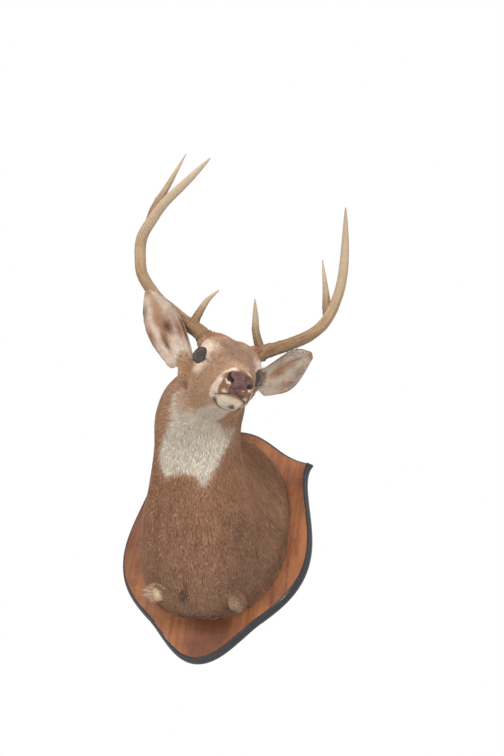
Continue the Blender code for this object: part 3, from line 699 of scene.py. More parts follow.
class Lie:
    """Everything about the coat at each point of the skin: its depth, lie, length and markings."""

    def __init__(self, points, normals, ear_share):
        h = to_head(points)
        right, left = ear_share
        # 0 on the head and 1 on the neck and body
        on_neck = np.maximum(ease(95, 150, h[:, 1]), ease(-112, -150, h[:, 2]) * ease(-140, -60, h[:, 1]))
        on_neck = np.maximum(on_neck, ease(-125, -175, h[:, 2]))
        self.on_face = (1.0 - on_neck) * (1.0 - np.clip(right + left, 0.0, 1.0))
        swirl_at, seam_at = swirl_reach(points), line_reach(points, CHEST_SEAM)
        self.swirl = bell(swirl_at, SWIRL_REACH)
        flow = head_lie(h) * (1.0 - on_neck)[:, None] + body_lie(points, swirl_at, seam_at) * on_neck[:, None]
        head_depth, head_length = coat_along_head(h)
        crown = ease(50, 75, h[:, 1]) * ease(25, 50, h[:, 2]) * (1.0 - on_neck)
        length = head_length + (BODY_LENGTH - head_length) * on_neck
        length += CROWN_LONGER * crown
        length += SWIRL_LONGER * self.swirl + SEAM_LONGER * bell(seam_at, 0.02)
        depth = head_depth + (BODY_DEPTH - head_depth) * on_neck
        depth += CROWN_DEEPER * crown
        depth += SWIRL_DEEPER * self.swirl
        face, body = head_colours(h), body_colours(points)
        blend = ease(60, 118, h[:, 1] + 0.25 * np.maximum(0.0, -60 - h[:, 2]))
        blend = np.maximum(blend, ease(-112, -124, h[:, 2]) * ease(-150, -120, h[:, 1]))
        self.colours = face + (body - face) * blend[:, None]
        flow = unit(flow)
        for (side, _), share in zip(SIDES, ear_share):
            ear_flow, ear_length, ear_depth, ear_fur = ear_coat(side, h)
            flow = flow * (1.0 - share)[:, None] + ear_flow * share[:, None]
            length = length * (1.0 - share) + ear_length * share
            depth = depth * (1.0 - share) + ear_depth * share
            self.colours += (ear_fur - self.colours) * share[:, None]
        self.flow = unit(flow - normals * dots(flow, normals)[:, None])
        # Short, close hair at the lids and lips
        reach, rim = lid_place(h)
        at_eye = ease(30, 24, reach)
        length *= 1.0 - 0.45 * at_eye * ease(12, 3, rim)
        lips = bell(np.abs(h[:, 2] - mouth_height(h)), 9.0) * ease(-128, -136, h[:, 1])
        length *= 1.0 - 0.35 * lips
        self.bare = np.clip(nose_pad(h) + at_eye * ease(2.6, 1.8, rim) + mouth_line(h, 1.4), 0.0, 1.0)
        ridge = 0.75 * blob(h, (34, 60, 66), (26, 26, 28)) + 1.1 * blob(h, (-42, 52, 62), (26, 24, 26), False)
        self.length = length + RIDGE_LONGER * ridge
        self.depth = depth
        # Hair on the throat lies closer than on the chest
        throat = ease(3, -8, throat_reach(points)) * ease(-150, -175, points[:, 1] / MM)
        eye_flat = 1.0 - 0.65 * at_eye * ease(12, 4, rim)
        rise = depth + RIDGE_RISE * ridge + SWIRL_RISE * self.swirl + SEAM_RISE * bell(seam_at, 0.010)
        self.rise = rise * eye_flat * (1.0 - 0.45 * throat)


# ---------------------------------------------------------------- mesh helpers

def piece(name, mesh, replaced=(), materials=()):
    """A finished piece on the mount's one body."""
    obj = bpy.data.objects.new(name, mesh)
    bpy.context.scene.collection.objects.link(obj)
    for mat in materials:
        mesh.materials.append(mat)
    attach(obj, BODY)
    if replaced:
        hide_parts(*replaced)
    return obj


def mesh_from(bm, name):
    mesh = bpy.data.meshes.new(name)
    bm.to_mesh(mesh)
    bm.free()
    return mesh


def with_modifiers(bm, name, settings, groups=()):
    """The mesh of a bmesh after modifiers given as (kind, values), with optional vertex groups."""
    obj = bpy.data.objects.new(name, mesh_from(bm, name))
    bpy.context.scene.collection.objects.link(obj)
    for group, members in groups:
        obj.vertex_groups.new(name=group).add(members, 1.0, "REPLACE")
    for kind, values in settings:
        modifier = obj.modifiers.new(kind.lower(), kind)
        for key, value in values.items():
            setattr(modifier, key, value)
    graph = bpy.context.evaluated_depsgraph_get()
    mesh = bpy.data.meshes.new_from_object(obj.evaluated_get(graph))
    source = obj.data
    bpy.data.objects.remove(obj, do_unlink=True)
    bpy.data.meshes.remove(source)
    result = bmesh.new()
    result.from_mesh(mesh)
    bpy.data.meshes.remove(mesh)
    return result


def remeshed(bm, name, voxel):
    """The bmesh wrapped in one closed surface, on a grid."""
    return with_modifiers(bm, name, [("REMESH", {"mode": "VOXEL", "voxel_size": voxel, "adaptivity": 0.0})])


def coordinates(mesh):
    points = np.empty(len(mesh.vertices) * 3)
    mesh.vertices.foreach_get("co", points)
    return points.reshape(-1, 3)


def triangles(mesh):
    mesh.calc_loop_triangles()
    corners = np.empty(len(mesh.loop_triangles) * 3, int)
    mesh.loop_triangles.foreach_get("vertices", corners)
    return corners.reshape(-1, 3)


def edge_ends(mesh):
    ends = np.empty(len(mesh.edges) * 2, int)
    mesh.edges.foreach_get("vertices", ends)
    return ends.reshape(-1, 2)


def vertex_normals(points, corners):
    a, b, c = (points[corners[:, k]] for k in range(3))
    across = np.cross(b - a, c - a)
    normals = np.zeros_like(points)
    for k in range(3):
        for axis in range(3):
            normals[:, axis] += np.bincount(corners[:, k], across[:, axis], len(points))
    return unit(normals)


def neighbour_mean(values, ends, count):
    """Mean of each vertex's neighbours."""
    size = len(values)
    total = np.empty_like(values)
    for axis in range(values.shape[1]):
        total[:, axis] = (np.bincount(ends[:, 0], values[ends[:, 1], axis], size)
                          + np.bincount(ends[:, 1], values[ends[:, 0], axis], size))
    return total / count[:, None]


def relax(points, ends, weight, rounds):
    """Even out a surface, more where the weight is higher, with little loss of volume."""
    count = np.maximum(np.bincount(ends.ravel(), minlength=len(points)), 1)
    for _ in range(rounds):
        for push in (0.60, -0.61):
            points = points + (neighbour_mean(points, ends, count) - points) * (push * weight)[:, None]
    return points


# Name of the value in each kind of mesh attribute, and how many numbers it has
ATTRIBUTES = {"FLOAT": ("value", 1), "FLOAT_VECTOR": ("vector", 3), "FLOAT_COLOR": ("color", 4)}


def store(mesh, name, kind, values):
    """Gives each vertex a value."""
    layer = mesh.attributes.new(name, kind, "POINT")
    layer.data.foreach_set(ATTRIBUTES[kind][0], np.ascontiguousarray(values, np.float32).ravel())


def fetch(mesh, name):
    """The values that store gave."""
    layer = mesh.attributes[name]
    key, size = ATTRIBUTES[layer.data_type]
    values = np.empty(len(layer.data) * size, np.float32)
    layer.data.foreach_get(key, values)
    return values.reshape(-1, size).astype(float) if size > 1 else values.astype(float)


# ---------------------------------------------------------------- skin

# How far the flesh solids are grown, so that they join
GROWN = 0.0004
# Balls that fill the eye sockets, nostrils, mouth and ear roots: places and radii in millimetres
EYE_PLUG = (EYE_PLACE, (20.0, 20.0, 20.0))
NOSTRIL_PLUG = ((17, -186, -64), (7.5, 8.0, 7.0))
MOUTH_PLUG = ((0, -138, -90), (25.0, 60.0, 1.6))
EAR_PLUGS = ((-76, 86, -1), (71, 89, 8))
EAR_PLUG_RADII = (12.0, 16.0, 22.0)
EAR_ROOT = (69, 87, -8)
# How far from an ear's solid the skin may still belong to it
EAR_MARGIN = 0.012
# Share of the triangles that the neck and body keep
BODY_KEEP = 0.15
# Rounds of evening out
HEAD_RELAX = 14
BODY_RELAX = 60
EAR_RELAX = 4


def flesh_and_plugs():
    """All flesh solids together, grown a little so that they join, with eyes, nostrils and mouth filled."""
    bm = bmesh.new()
    for name in FLESH:
        part = bmesh.new()
        part.from_mesh(NODES[name].data)
        part.transform(NODES[name].matrix_world)
        bmesh.ops.remove_doubles(part, verts=part.verts, dist=WELD)
        part.normal_update()
        for vert in part.verts:
            vert.co += vert.normal * GROWN
        mesh = mesh_from(part, "flesh_part")
        bm.from_mesh(mesh)
        bpy.data.meshes.remove(mesh)

    def plug(place, radii, frame_at=HEAD):
        stretch = Matrix.Diagonal((*(r * MM for r in radii), 1.0))
        bmesh.ops.create_icosphere(bm, subdivisions=3, radius=1.0,
                                   matrix=frame_at @ Matrix.Translation(Vector(place) * MM) @ stretch)

    for _, sign in SIDES:
        for (x, y, z), radii in (EYE_PLUG, NOSTRIL_PLUG):
            plug((sign * x, y, z), radii)
    plug(*MOUTH_PLUG)
    for place in EAR_PLUGS:
        plug(place, EAR_PLUG_RADII, CROWN)
    return bm


def largest_island(bm):
    """Keep only the largest connected part."""
    bm.verts.ensure_lookup_table()
    seen = bytearray(len(bm.verts))
    best = []
    for start in bm.verts:
        if seen[start.index]:
            continue
        seen[start.index] = 1
        island, stack = [start], [start]
        while stack:
            for edge in stack.pop().link_edges:
                for other in edge.verts:
                    if not seen[other.index]:
                        seen[other.index] = 1
                        island.append(other)
                        stack.append(other)
        if len(island) > len(best):
            best = island
    keep = set(best)
    bmesh.ops.delete(bm, geom=[v for v in bm.verts if v not in keep], context="VERTS")


def node_tree(names):
    """A search tree over the merged solids of some nodes."""
    bm = bmesh.new()
    for name in names:
        bm.from_mesh(NODES[name].data)
    tree = BVHTree.FromBMesh(bm)
    bm.free()
    return tree


def ear_shares(points):
    """How far each point belongs to each ear, 0 to 1."""
    rest = node_tree(("head", "neck", "shoulders"))
    shares = []
    for side, _ in SIDES:
        tree = node_tree(("ear_" + side,))
        low, high = (np.array(corner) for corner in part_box("ear_" + side))
        near = np.all((points > low - EAR_MARGIN) & (points < high + EAR_MARGIN), axis=1)
        share = np.zeros(len(points))
        for k in np.nonzero(near)[0]:
            spot = Vector(points[k])
            to_ear = tree.find_nearest(spot)[3]
            if to_ear < EAR_MARGIN:
                to_rest = rest.find_nearest(spot)[3]
                share[k] = (to_rest - to_ear) / MM
        shares.append(ease(0.0, 5.0, share))
    return shares


def refine(bm, choose):
    """Split every edge of the faces that choose picks out, from their middles in head coordinates."""
    bmesh.ops.triangulate(bm, faces=bm.faces)
    middles = np.array([face.calc_center_median() for face in bm.faces])
    wanted = choose(to_head(middles))
    edges = {edge for face, want in zip(bm.faces, wanted) if want for edge in face.edges}
    bmesh.ops.subdivide_edges(bm, edges=list(edges), cuts=1, use_grid_fill=True)
    bmesh.ops.triangulate(bm, faces=bm.faces)


def from_eye(h):
    """Distance from the front of the nearer eye."""
    return np.linalg.norm(folded(h) - np.array(EYE_FRONT), axis=1)


def near_features(h):
    """The lids with what lies round them, and the muzzle."""
    muzzle = (h[:, 1] < -128) & (h[:, 2] < -30)
    return (from_eye(h) < 33) | muzzle


def near_openings(h):
    """The lids and the nose."""
    nose = (h[:, 1] < -176) & (h[:, 2] < -38) & (h[:, 2] > -100)
    return (from_eye(h) < 24) | nose


# Forms added to the skin under the coat, in head millimetres: centre, radii and how far out
FACE_FORMS = (
    ((50, 2, 25), (26, 30, 15), 1.8),        # brow over the eye
    ((58, -16, -2), (17, 22, 20), -7.5),     # hollow next to the eye
    ((53, -36, -4), (22, 36, 24), -6.5),     # hollow in front of it
    ((59, 8, -30), (16, 40, 13), 1.6),       # cheek bone
    ((50, -16, -52), (20, 44, 20), -1.2),    # cheek hollow
    ((54, 60, -45), (20, 32, 32), 1.6),      # jaw muscle
    ((30, -108, -40), (16, 44, 22), -1.6),   # side of the muzzle
    ((16, -100, -6), (10, 60, 10), 1.0),     # edge of the nose bone
    ((68, 92, -10), (26, 26, 30), 3.0),      # root of the ear
    ((0, -70, 12), (10, 60, 14), -0.8),      # dip along the bridge
    ((0, -10, 44), (18, 34, 18), -1.2),      # dip between the brows
    ((26, -184, -66), (6, 9, 13), 1.6),      # rim of the nostril
    ((20, -188, -50), (8, 8, 6), 1.3),       # top of the nostril's wing
    ((23, -168, -82), (9, 16, 7), 1.3),      # upper lip
    ((0, -168, -104), (18, 22, 9), 1.0),     # chin
    ((31, -160, -104), (15, 46, 15), -6.0),  # lower jaw, tucked in under the lip
    ((0, -196, -84), (3.0, 9, 8), -1.2),     # groove down the middle of the nose pad
    ((0, 56, 64), (18, 34, 24), -3.5),       # dip between the antlers' roots
)
# Crease of the gland before each eye, and its depth and half width
TEAR_LINE = ((53, -14, -5), (49, -32, -9), (46, -56, -20))
TEAR_DEEP = 2.6
TEAR_WIDE = 4.0
# Depth and half width of the mouth's line, and how far the lower jaw is tucked in under it
MOUTH_DEEP = 2.4
MOUTH_WIDE = 2.2
JAW_TUCK = 0.14
# Nostril: line along its middle, reach from that line, depth, and the way that it runs in
PIT_LINE = ((21.5, -188, -55), (23, -190, -60), (20.5, -194, -65), (16, -197, -67))
PIT_REACH = 5.2
PIT_DEEP = 9.0
PIT_WAY = (-0.35, 0.9, 0.15)
# Depth and half width of the crease down the side and of the seam down the chest
CREASE_DEEP = 0.0035
CREASE_WIDE = 0.016
SEAM_DEEP = 0.003
SEAM_WIDE = 0.008


def sculpt_face(points, normals, weight):
    """Push the features of the face in and out along the surface."""
    h = to_head(points)
    move = np.zeros(len(points))
    for centre, radii, out in FACE_FORMS:
        move += out * blob(h, centre, radii, centre[0] != 0)
    move -= TEAR_DEEP * bell(line_reach(folded(h), TEAR_LINE), TEAR_WIDE)
    off = h[:, 2] - mouth_height(h)
    corner = ease(MOUTH_CORNER_Y + 6, MOUTH_CORNER_Y - 2, h[:, 1])
    move -= MOUTH_DEEP * bell(np.abs(off), MOUTH_WIDE) * corner
    points = points + normals * (move * weight * MM)[:, None]
    # The lower jaw is narrower than the lips over it
    jaw = ease(1.5, -3.0, off) * ease(-115, -140, h[:, 1]) * weight
    points = points - np.outer(JAW_TUCK * h[:, 0] * jaw * MM, HEAD_AXES[:, 0])
    # Nostrils run back and in from their rims
    pit = bell(line_reach(folded(h), PIT_LINE), PIT_REACH) ** 0.8 * weight
    inward = np.tile(PIT_WAY, (len(h), 1))
    inward[:, 0] *= np.sign(h[:, 0])
    return points + head_direction(inward) * (pit * PIT_DEEP * MM)[:, None]


def fit_lids(points, weight):
    """Wrap the skin round each eye: lids that lie on the ball, and an opening whose edge turns in."""
    h = to_head(points)
    arc, angle, reach, ray = eye_place(h)
    rim = arc - opening_edge(angle)
    within = rim < -LID_EDGE
    inner = EYE_RADIUS - EYE_SINK
    lid = EYE_RADIUS + LID_LIFT + 0.35 * bell(np.abs(rim - 2.0), 2.4)
    target = np.where(within, inner, lid)
    fitted = reach + (target - reach) * ease(LID_SPREAD, 1.5, rim)
    # Nowhere outside the opening does the ball come through the skin
    cover = EYE_RADIUS + BALL_COVER
    fitted = np.where(within, inner, np.maximum(fitted, cover))
    spot = np.array(EYE_PLACE) + ray * fitted[:, None]
    spot[:, 0] *= np.sign(h[:, 0])
    change = (reach < LID_AREA) & (weight > 0.5) & ((rim < LID_SPREAD) | (reach < cover))
    return np.where(change[:, None], from_head(spot), points)


def from_head(h):
    return HEAD_ORIGIN + (np.asarray(h) * MM) @ HEAD_AXES.T


def flesh_skin(voxel):
    """One skin over all the flesh, evened out, with larger triangles on the neck and body."""
    bm = remeshed(flesh_and_plugs(), "flesh", voxel)
    largest_island(bm)
    mesh = mesh_from(bm, "shell")
    points = coordinates(mesh)
    h = to_head(points)
    ears = np.clip(sum(ear_shares(points)), 0, 1)
    on_head_part = ease(100, 70, h[:, 1]) * ease(-150, -110, h[:, 2])
    ear_root = np.linalg.norm(folded(h) - np.array(EAR_ROOT), axis=1)
    on_head_part = np.maximum(on_head_part, 0.9 * ease(60, 30, ear_root))
    ends = edge_ends(mesh)
    flat_back = ease(-0.030, -0.024, points[:, 1])
    points = relax(points, ends, (1.0 - flat_back * 0.9) * (1.0 - ears), HEAD_RELAX)
    points = relax(points, ends, ears, EAR_RELAX)
    points = relax(points, ends, (1.0 - on_head_part) * (1.0 - ears) * (1.0 - flat_back), BODY_RELAX)
    mesh.vertices.foreach_set("co", points.ravel())
    bm = bmesh.new()
    bm.from_mesh(mesh)
    bpy.data.meshes.remove(mesh)
    body = np.nonzero((on_head_part < 0.5) & (ears < 0.1))[0]
    ratio = 1.0 - len(body) / len(points) * (1.0 - BODY_KEEP)
    return with_modifiers(bm, "shell", [("DECIMATE", {"ratio": ratio, "vertex_group": "body"})],
                          [("body", body.tolist())])


def build_skin(settings):
    """One skin with its features, and the lie, length and markings of the coat on it."""
    bm = flesh_skin(settings.skin_voxel)
    refine(bm, near_features)
    refine(bm, near_openings)
    mesh = mesh_from(bm, "skin")
    points, corners, ends = coordinates(mesh), triangles(mesh), edge_ends(mesh)
    h = to_head(points)
    right, left = ear_shares(points)
    off_ears = 1.0 - np.clip(right + left, 0, 1)
    features = ease(36, 30, from_eye(h))
    features = np.maximum(features, ease(-120, -130, h[:, 1]) * ease(-26, -34, h[:, 2]))
    points = relax(points, ends, features, 6)
    # The skin lies under the solids by the depth of the coat, except where it meets the board
    normals = vertex_normals(points, corners)
    lie = Lie(points, normals, (right, left))
    flat_back = ease(-0.027, -0.0225, points[:, 1])
    points = points - normals * (lie.depth * MM * (1.0 - 0.8 * flat_back))[:, None]
    points = relax(points, ends, off_ears * (1.0 - flat_back), 3)
    normals = vertex_normals(points, corners)
    on_head_part = off_ears * ease(105, 85, h[:, 1])
    points = sculpt_face(points, normals, on_head_part)
    body_move = CREASE_DEEP * bell(line_reach(points, SIDE_CREASE), CREASE_WIDE)
    body_move += SEAM_DEEP * bell(line_reach(points, CHEST_SEAM), SEAM_WIDE)
    points -= normals * (body_move * off_ears)[:, None]
    points = fit_lids(points, on_head_part)
    points[:, 1] = np.minimum(points[:, 1], REAR_LIMIT)
    mesh.vertices.foreach_set("co", points.ravel())
    mesh.update()
    lie = Lie(points, vertex_normals(points, corners), (right, left))
    shade = np.ones((len(points), 4))
    shade[:, :3] = lie.colours
    store(mesh, "Coat", "FLOAT_COLOR", shade)
    store(mesh, "lie", "FLOAT_VECTOR", lie.flow)
    for name, values in (("ears", right - left), ("hair_length", lie.length), ("hair_rise", lie.rise),
                         ("bare", lie.bare), ("swirl", lie.swirl), ("face", lie.on_face)):
        store(mesh, name, "FLOAT", values)
    mesh.shade_smooth()
    piece("skin", mesh, FLESH, (underfur_material(), bare_material()))
    bare = lie.bare[corners].mean(axis=1) > 0.5
    mesh.polygons.foreach_set("material_index", bare.astype(np.int32))


# ---------------------------------------------------------------- coat

# A tuft has three corners at its root, three where it is widest, and its tip
TUFT_POINTS = 7
TUFT_FACES = ((0, 2, 1), (0, 1, 4), (0, 4, 3), (1, 2, 5), (1, 5, 4), (2, 0, 3), (2, 3, 5),
              (3, 4, 6), (4, 5, 6), (5, 3, 6))
# Most tufts in one piece
MOST_TUFTS = 19800
# Depth of a tuft's root in the skin, least height of its middle and tip over it, and most thickness
SUNK = 0.0004
CLEAR = 0.0002
MOST_THICK = 0.0006
# Places of a tuft's corners on its patch of the flat layout, and half the size of the patch
PATCH_CORNERS = ((-0.6, -1), (0.6, -1), (0, -0.9), (-1, 0), (1, 0), (0, 0.1), (0, 1))
PATCH = 0.0014
REGIONS = ("face", "crown", "ear_right", "ear_left", "neck", "body")
# Areas of the flat layout: left, bottom, width and height
BODY_AREA = (0.02, 0.02, 0.58, 0.56)
HEAD_AREA = (0.02, 0.62, 0.58, 0.36)


def in_area(area, across, up):
    left, bottom, width, height = area
    return left + width * across, bottom + height * up


def unwrap(points, h, ears):
    """Place of each point on a flat layout of the skin: body, head and the two sides of each ear."""
    place, line, middle = neck_place(points)
    out = points - middle
    side = unit(np.cross(line, (0.0, 0.0, 1.0)))
    up = np.cross(side, line)
    turn = np.arctan2(dots(out, side), dots(out, up)) / (2 * math.pi) + 0.5
    u, v = in_area(BODY_AREA, turn, place)
    head = h[:, 1] < 110
    around = np.arctan2(h[:, 0], h[:, 2] + 30.0) / (2 * math.pi) + 0.5
    head_u, head_v = in_area(HEAD_AREA, around, np.clip((h[:, 1] + 205.0) / 320.0, 0, 1))
    u = np.where(head, head_u, u)
    v = np.where(head, head_v, v)
    for k, (name, _) in enumerate(SIDES):
        part, lateral, distance = ear_place(name, h)
        mine = (ears if name == "right" else -ears) > 0.5
        inner = distance < 0
        u = np.where(mine, 0.66 + 0.16 * inner + 0.07 * (np.clip(lateral, -1.2, 1.2) + 1.2) / 1.2, u)
        v = np.where(mine, 0.04 + 0.48 * k + 0.40 * np.clip(part, 0, 1), v)
    return np.stack([u, v], axis=1)


def scatter(mesh, total, rng):
    """Evenly spread places on the skin: corners and their weights, thicker where the hair is fine, and
    none on bare skin, at the lids or against the board."""
    points, corners = coordinates(mesh), triangles(mesh)
    length, bare = fetch(mesh, "hair_length"), fetch(mesh, "bare")
    a, b, c = (points[corners[:, k]] for k in range(3))
    area = np.linalg.norm(np.cross(b - a, c - a), axis=1) / 2
    middle = (a + b + c) / 3
    density = 1.0 / (length[corners].mean(axis=1) ** 0.9 + 2.0)
    density *= middle[:, 1] <= BOARD_FRONT - 0.0012
    density *= bare[corners].max(axis=1) < 0.35
    reach, rim = lid_place(to_head(middle))
    density *= ~((reach < 38) & (rim < 3.6))
    share = np.cumsum(area * density)
    picks = (np.arange(total) + rng.random(total)) * (share[-1] / total)
    face = np.minimum(np.searchsorted(share, picks), len(corners) - 1)
    r = np.sqrt(rng.random(total))
    s = rng.random(total)
    weights = np.stack([1 - r, r * (1 - s), r * s], axis=1)
    return corners[face], weights


def mixed(values, corners, weights):
    """Values of corners, mixed by their weights."""
    picked = values[corners]
    if picked.ndim == 3:
        return np.sum(picked * weights[..., None], axis=1)
    return np.sum(picked * weights, axis=1)


def onto_skin(tree, spots):
    """Nearest places on the skin, and the way out of it there."""
    found, outward = np.empty_like(spots), np.empty_like(spots)
    for k, spot in enumerate(spots):
        place, normal, _, _ = tree.find_nearest(spot)
        found[k], outward[k] = place, normal
    return found, outward


def tuft_corners(root, out, middle, middle_out, tip, width):
    """Corners of every tuft, held clear of the board."""
    points = np.empty((len(root), TUFT_POINTS, 3))
    thick = np.minimum(width * 0.30, MOST_THICK)
    across = unit(middle - root)
    for k, (centre, normal, half, lift) in enumerate(((root - out * SUNK, out, width * 0.30, thick * 0.6),
                                                      (middle, middle_out, width * 0.50, thick))):
        aside = unit(np.cross(normal, across))
        points[:, 3 * k] = centre - aside * half[:, None]
        points[:, 3 * k + 1] = centre + aside * half[:, None]
        points[:, 3 * k + 2] = centre + normal * lift[:, None]
    points[:, 6] = tip
    points[:, :, 1] = np.minimum(points[:, :, 1], REAR_LIMIT)
    return points


def tuft_shades(root, flow, face, colour, rng):
    """Colours of every tuft's corners: dark at the root and pale at the tip, in lighter and darker locks."""
    total = len(root)
    brightness = colour.mean(axis=1)
    fine = strands(root, flow, 0.012, 0.0028 + 0.0010 * face)
    broad = strands(root, flow, 0.050, 0.012, 7.0)
    lock = (0.70 + 0.45 * face) * (1.0 - 0.6 * np.clip(brightness * 1.8, 0.0, 1.0))
    bright = 1.0 + rng.normal(0.0, 0.06, total) + lock * (1.0 * fine + 0.5 * broad)
    dark_tip = (rng.random(total) < 0.20) * (1.0 - np.clip(brightness / 0.5, 0, 1))
    pale = np.clip(brightness * 1.6, 0.0, 1.0)
    levels = (0.62 + 0.34 * pale, 0.94 + 0.06 * pale, 1.10 - 0.06 * pale - 0.34 * dark_tip)
    shades = np.empty((total, TUFT_POINTS, 4))
    shades[..., 3] = 1.0
    for k, level in zip((0, 3, 6), levels):
        shades[:, k:k + 3, :3] = (colour * (bright * level)[:, None])[:, None, :]
    return shades


def build_coat(settings):
    """Closed tapering tufts that lie along the skin, a few millimetres of tip standing clear."""
    rng = np.random.default_rng(SEED)
    mesh = bpy.data.objects["skin"].data
    total = settings.tufts // 1
    corners, weights = scatter(mesh, total, rng)
    skin, skin_corners = coordinates(mesh), triangles(mesh)
    root = mixed(skin, corners, weights)
    out = unit(mixed(vertex_normals(skin, skin_corners), corners, weights))
    flow, length, rise, ears, swirl, face, colour = (
        mixed(fetch(mesh, name), corners, weights)
        for name in ("lie", "hair_length", "hair_rise", "ears", "swirl", "face", "Coat"))
    length = length * MM * settings.hair_length
    rise = rise * MM

    # Every tuft turns a little from the lie of the hair, and has its own length, width and rise
    flow = unit(flow - out * dots(flow, out)[:, None])
    side = np.cross(out, flow)
    turn = np.radians(rng.normal(0.0, 1.0, total) * (7.0 + 6.0 * swirl + 4.0 * np.abs(ears))
                      + 9.0 * wander(root, 70.0, 2.0))
    flow = flow * np.cos(turn)[:, None] + side * np.sin(turn)[:, None]
    length *= rng.uniform(0.78, 1.22, total)
    width = (0.38 + 0.050 * length / MM) * MM * rng.uniform(0.85, 1.15, total) * settings.hair_width
    width *= 1.0 + 0.9 * swirl
    length *= 1.0 + 0.35 * swirl * rng.uniform(-1.0, 1.0, total)
    stand = rng.uniform(0.62, 1.0, total)
    stand = np.where(rng.random(total) < 0.04, stand * 1.12, stand)
    tree = BVHTree.FromPolygons(skin.tolist(), skin_corners.tolist())
    middle, middle_out = onto_skin(tree, root + flow * (length * 0.5)[:, None])
    tip, tip_out = onto_skin(tree, root + flow * (length * 0.96)[:, None])
    middle += middle_out * (rise * 0.50 * stand + CLEAR)[:, None]
    tip += tip_out * (rise * 0.78 * stand + CLEAR)[:, None]
    # The swirls' hair fans out straight, to the side and down
    brush = ease(0.10, 0.45, swirl)[:, None]
    fan = swirl_fan(root)
    middle += (root + fan * (length * 0.5)[:, None] - middle) * brush
    tip += (root + fan * length[:, None] - tip) * brush

    points = tuft_corners(root, out, middle, middle_out, tip, width)
    shades = tuft_shades(root, flow, face, colour[:, :3], rng)
    h = to_head(root)
    uv_root = unwrap(root, h, ears)
    region = np.select([ears > 0.5, ears < -0.5, (h[:, 1] > 35) & (face > 0.5), face > 0.5,
                        neck_place(root)[0] < 0.42], [2, 3, 1, 0, 4], 5)
    for index, label in enumerate(REGIONS):
        members = np.nonzero(region == index)[0]
        batches = max(1, math.ceil(len(members) / MOST_TUFTS))
        for batch, chosen in enumerate(np.array_split(members, batches), start=1):
            name = f"coat_{label}" + (f"_{batch}" if batches > 1 else "")
            tuft_piece(name, points[chosen], shades[chosen], uv_root[chosen])


def tuft_piece(name, points, shades, uv_root):
    """Many tufts as one closed mesh."""
    count = len(points)
    faces = (np.array(TUFT_FACES)[None] + (np.arange(count) * TUFT_POINTS)[:, None, None]).reshape(-1, 3)
    mesh = bpy.data.meshes.new(name)
    mesh.vertices.add(count * TUFT_POINTS)
    mesh.vertices.foreach_set("co", points.ravel())
    mesh.loops.add(faces.size)
    mesh.loops.foreach_set("vertex_index", faces.ravel().astype(np.int32))
    mesh.polygons.add(len(faces))
    mesh.polygons.foreach_set("loop_start", np.arange(0, faces.size, 3, dtype=np.int32))
    mesh.update(calc_edges=True)
    store(mesh, "Coat", "FLOAT_COLOR", shades)
    layer = mesh.uv_layers.new(name="OFBake")
    place = (uv_root[:, None, :] + (np.array(PATCH_CORNERS) * PATCH)[None]).reshape(-1, 2)
    layer.uv.foreach_set("vector", place[faces.ravel()].ravel().astype(np.float32))
    mesh.shade_smooth()
    piece(name, mesh, (), (coat_material(),))


# ---------------------------------------------------------------- materials

class Shading:
    """Adds and links the nodes of one material, group or world."""

    def __init__(self, tree):
        self.tree = tree
        self.column = 0

    def add(self, kind, **values):
        node = self.tree.nodes.new(kind)
        self.column += 1
        node.location = (self.column * 190 - 1600, -(self.column % 4) * 160)
        for key, value in values.items():
            setattr(node, key, value)
        return node

    def feed(self, node, **inputs):
        """Sets inputs by name (spaces as underscores) or number (n0, n1 and so on), from values or from
        other nodes' outputs."""
        for key, value in inputs.items():
            name = key.replace("_", " ")
            socket = node.inputs[int(key[1:])] if key[0] == "n" and key[1:].isdigit() else node.inputs[name]
            if isinstance(value, bpy.types.NodeSocket):
                self.tree.links.new(value, socket)
            else:
                socket.default_value = value
        return node

    def noise(self, vector, scale, detail=3.0, roughness=0.55):
        node = self.add("ShaderNodeTexNoise")
        self.feed(node, Vector=vector, Scale=scale, Detail=detail, Roughness=roughness)
        return node.outputs["Fac"]

    def ramp(self, value, low, high, start=0.0, end=1.0):
        node = self.add("ShaderNodeMapRange")
        self.feed(node, n0=value, n1=low, n2=high, n3=start, n4=end)
        return node.outputs[0]

    def maths(self, operation, first, second=0.0):
        node = self.add("ShaderNodeMath", operation=operation)
        self.feed(node, n0=first, n1=second)
        return node.outputs[0]

    def blend(self, factor, first, second, mode="MIX"):
        node = self.add("ShaderNodeMix", data_type="RGBA", blend_type=mode)
        self.feed(node, n0=factor, n6=first, n7=second)
        return node.outputs[2]

    def stretch(self, vector, scale, turn=(0.0, 0.0, 0.0)):
        node = self.add("ShaderNodeMapping")
        self.feed(node, Vector=vector, Scale=scale, Rotation=turn)
        return node.outputs[0]

    def bump(self, height, distance, strength=1.0):
        node = self.add("ShaderNodeBump")
        self.feed(node, Height=height, Distance=distance, Strength=strength)
        return node.outputs[0]

    def place(self):
        return self.add("ShaderNodeTexCoord").outputs["Object"]

    def attribute(self, name, output="Color"):
        return self.add("ShaderNodeAttribute", attribute_name=name).outputs[output]

    def group(self, tree, **inputs):
        node = self.add("ShaderNodeGroup", node_tree=tree)
        return self.feed(node, **inputs).outputs


def material(name):
    """Makes a material once, from a function that adds its nodes and returns the shader's inputs."""
    def wrap(shade):
        def get(*settings):
            mat = bpy.data.materials.get(name)
            if mat is None:
                mat = bpy.data.materials.new(name)
                mat.use_nodes = True
                s = Shading(mat.node_tree)
                s.feed(mat.node_tree.nodes["Principled BSDF"], **shade(s, *settings))
            return mat
        return get
    return wrap


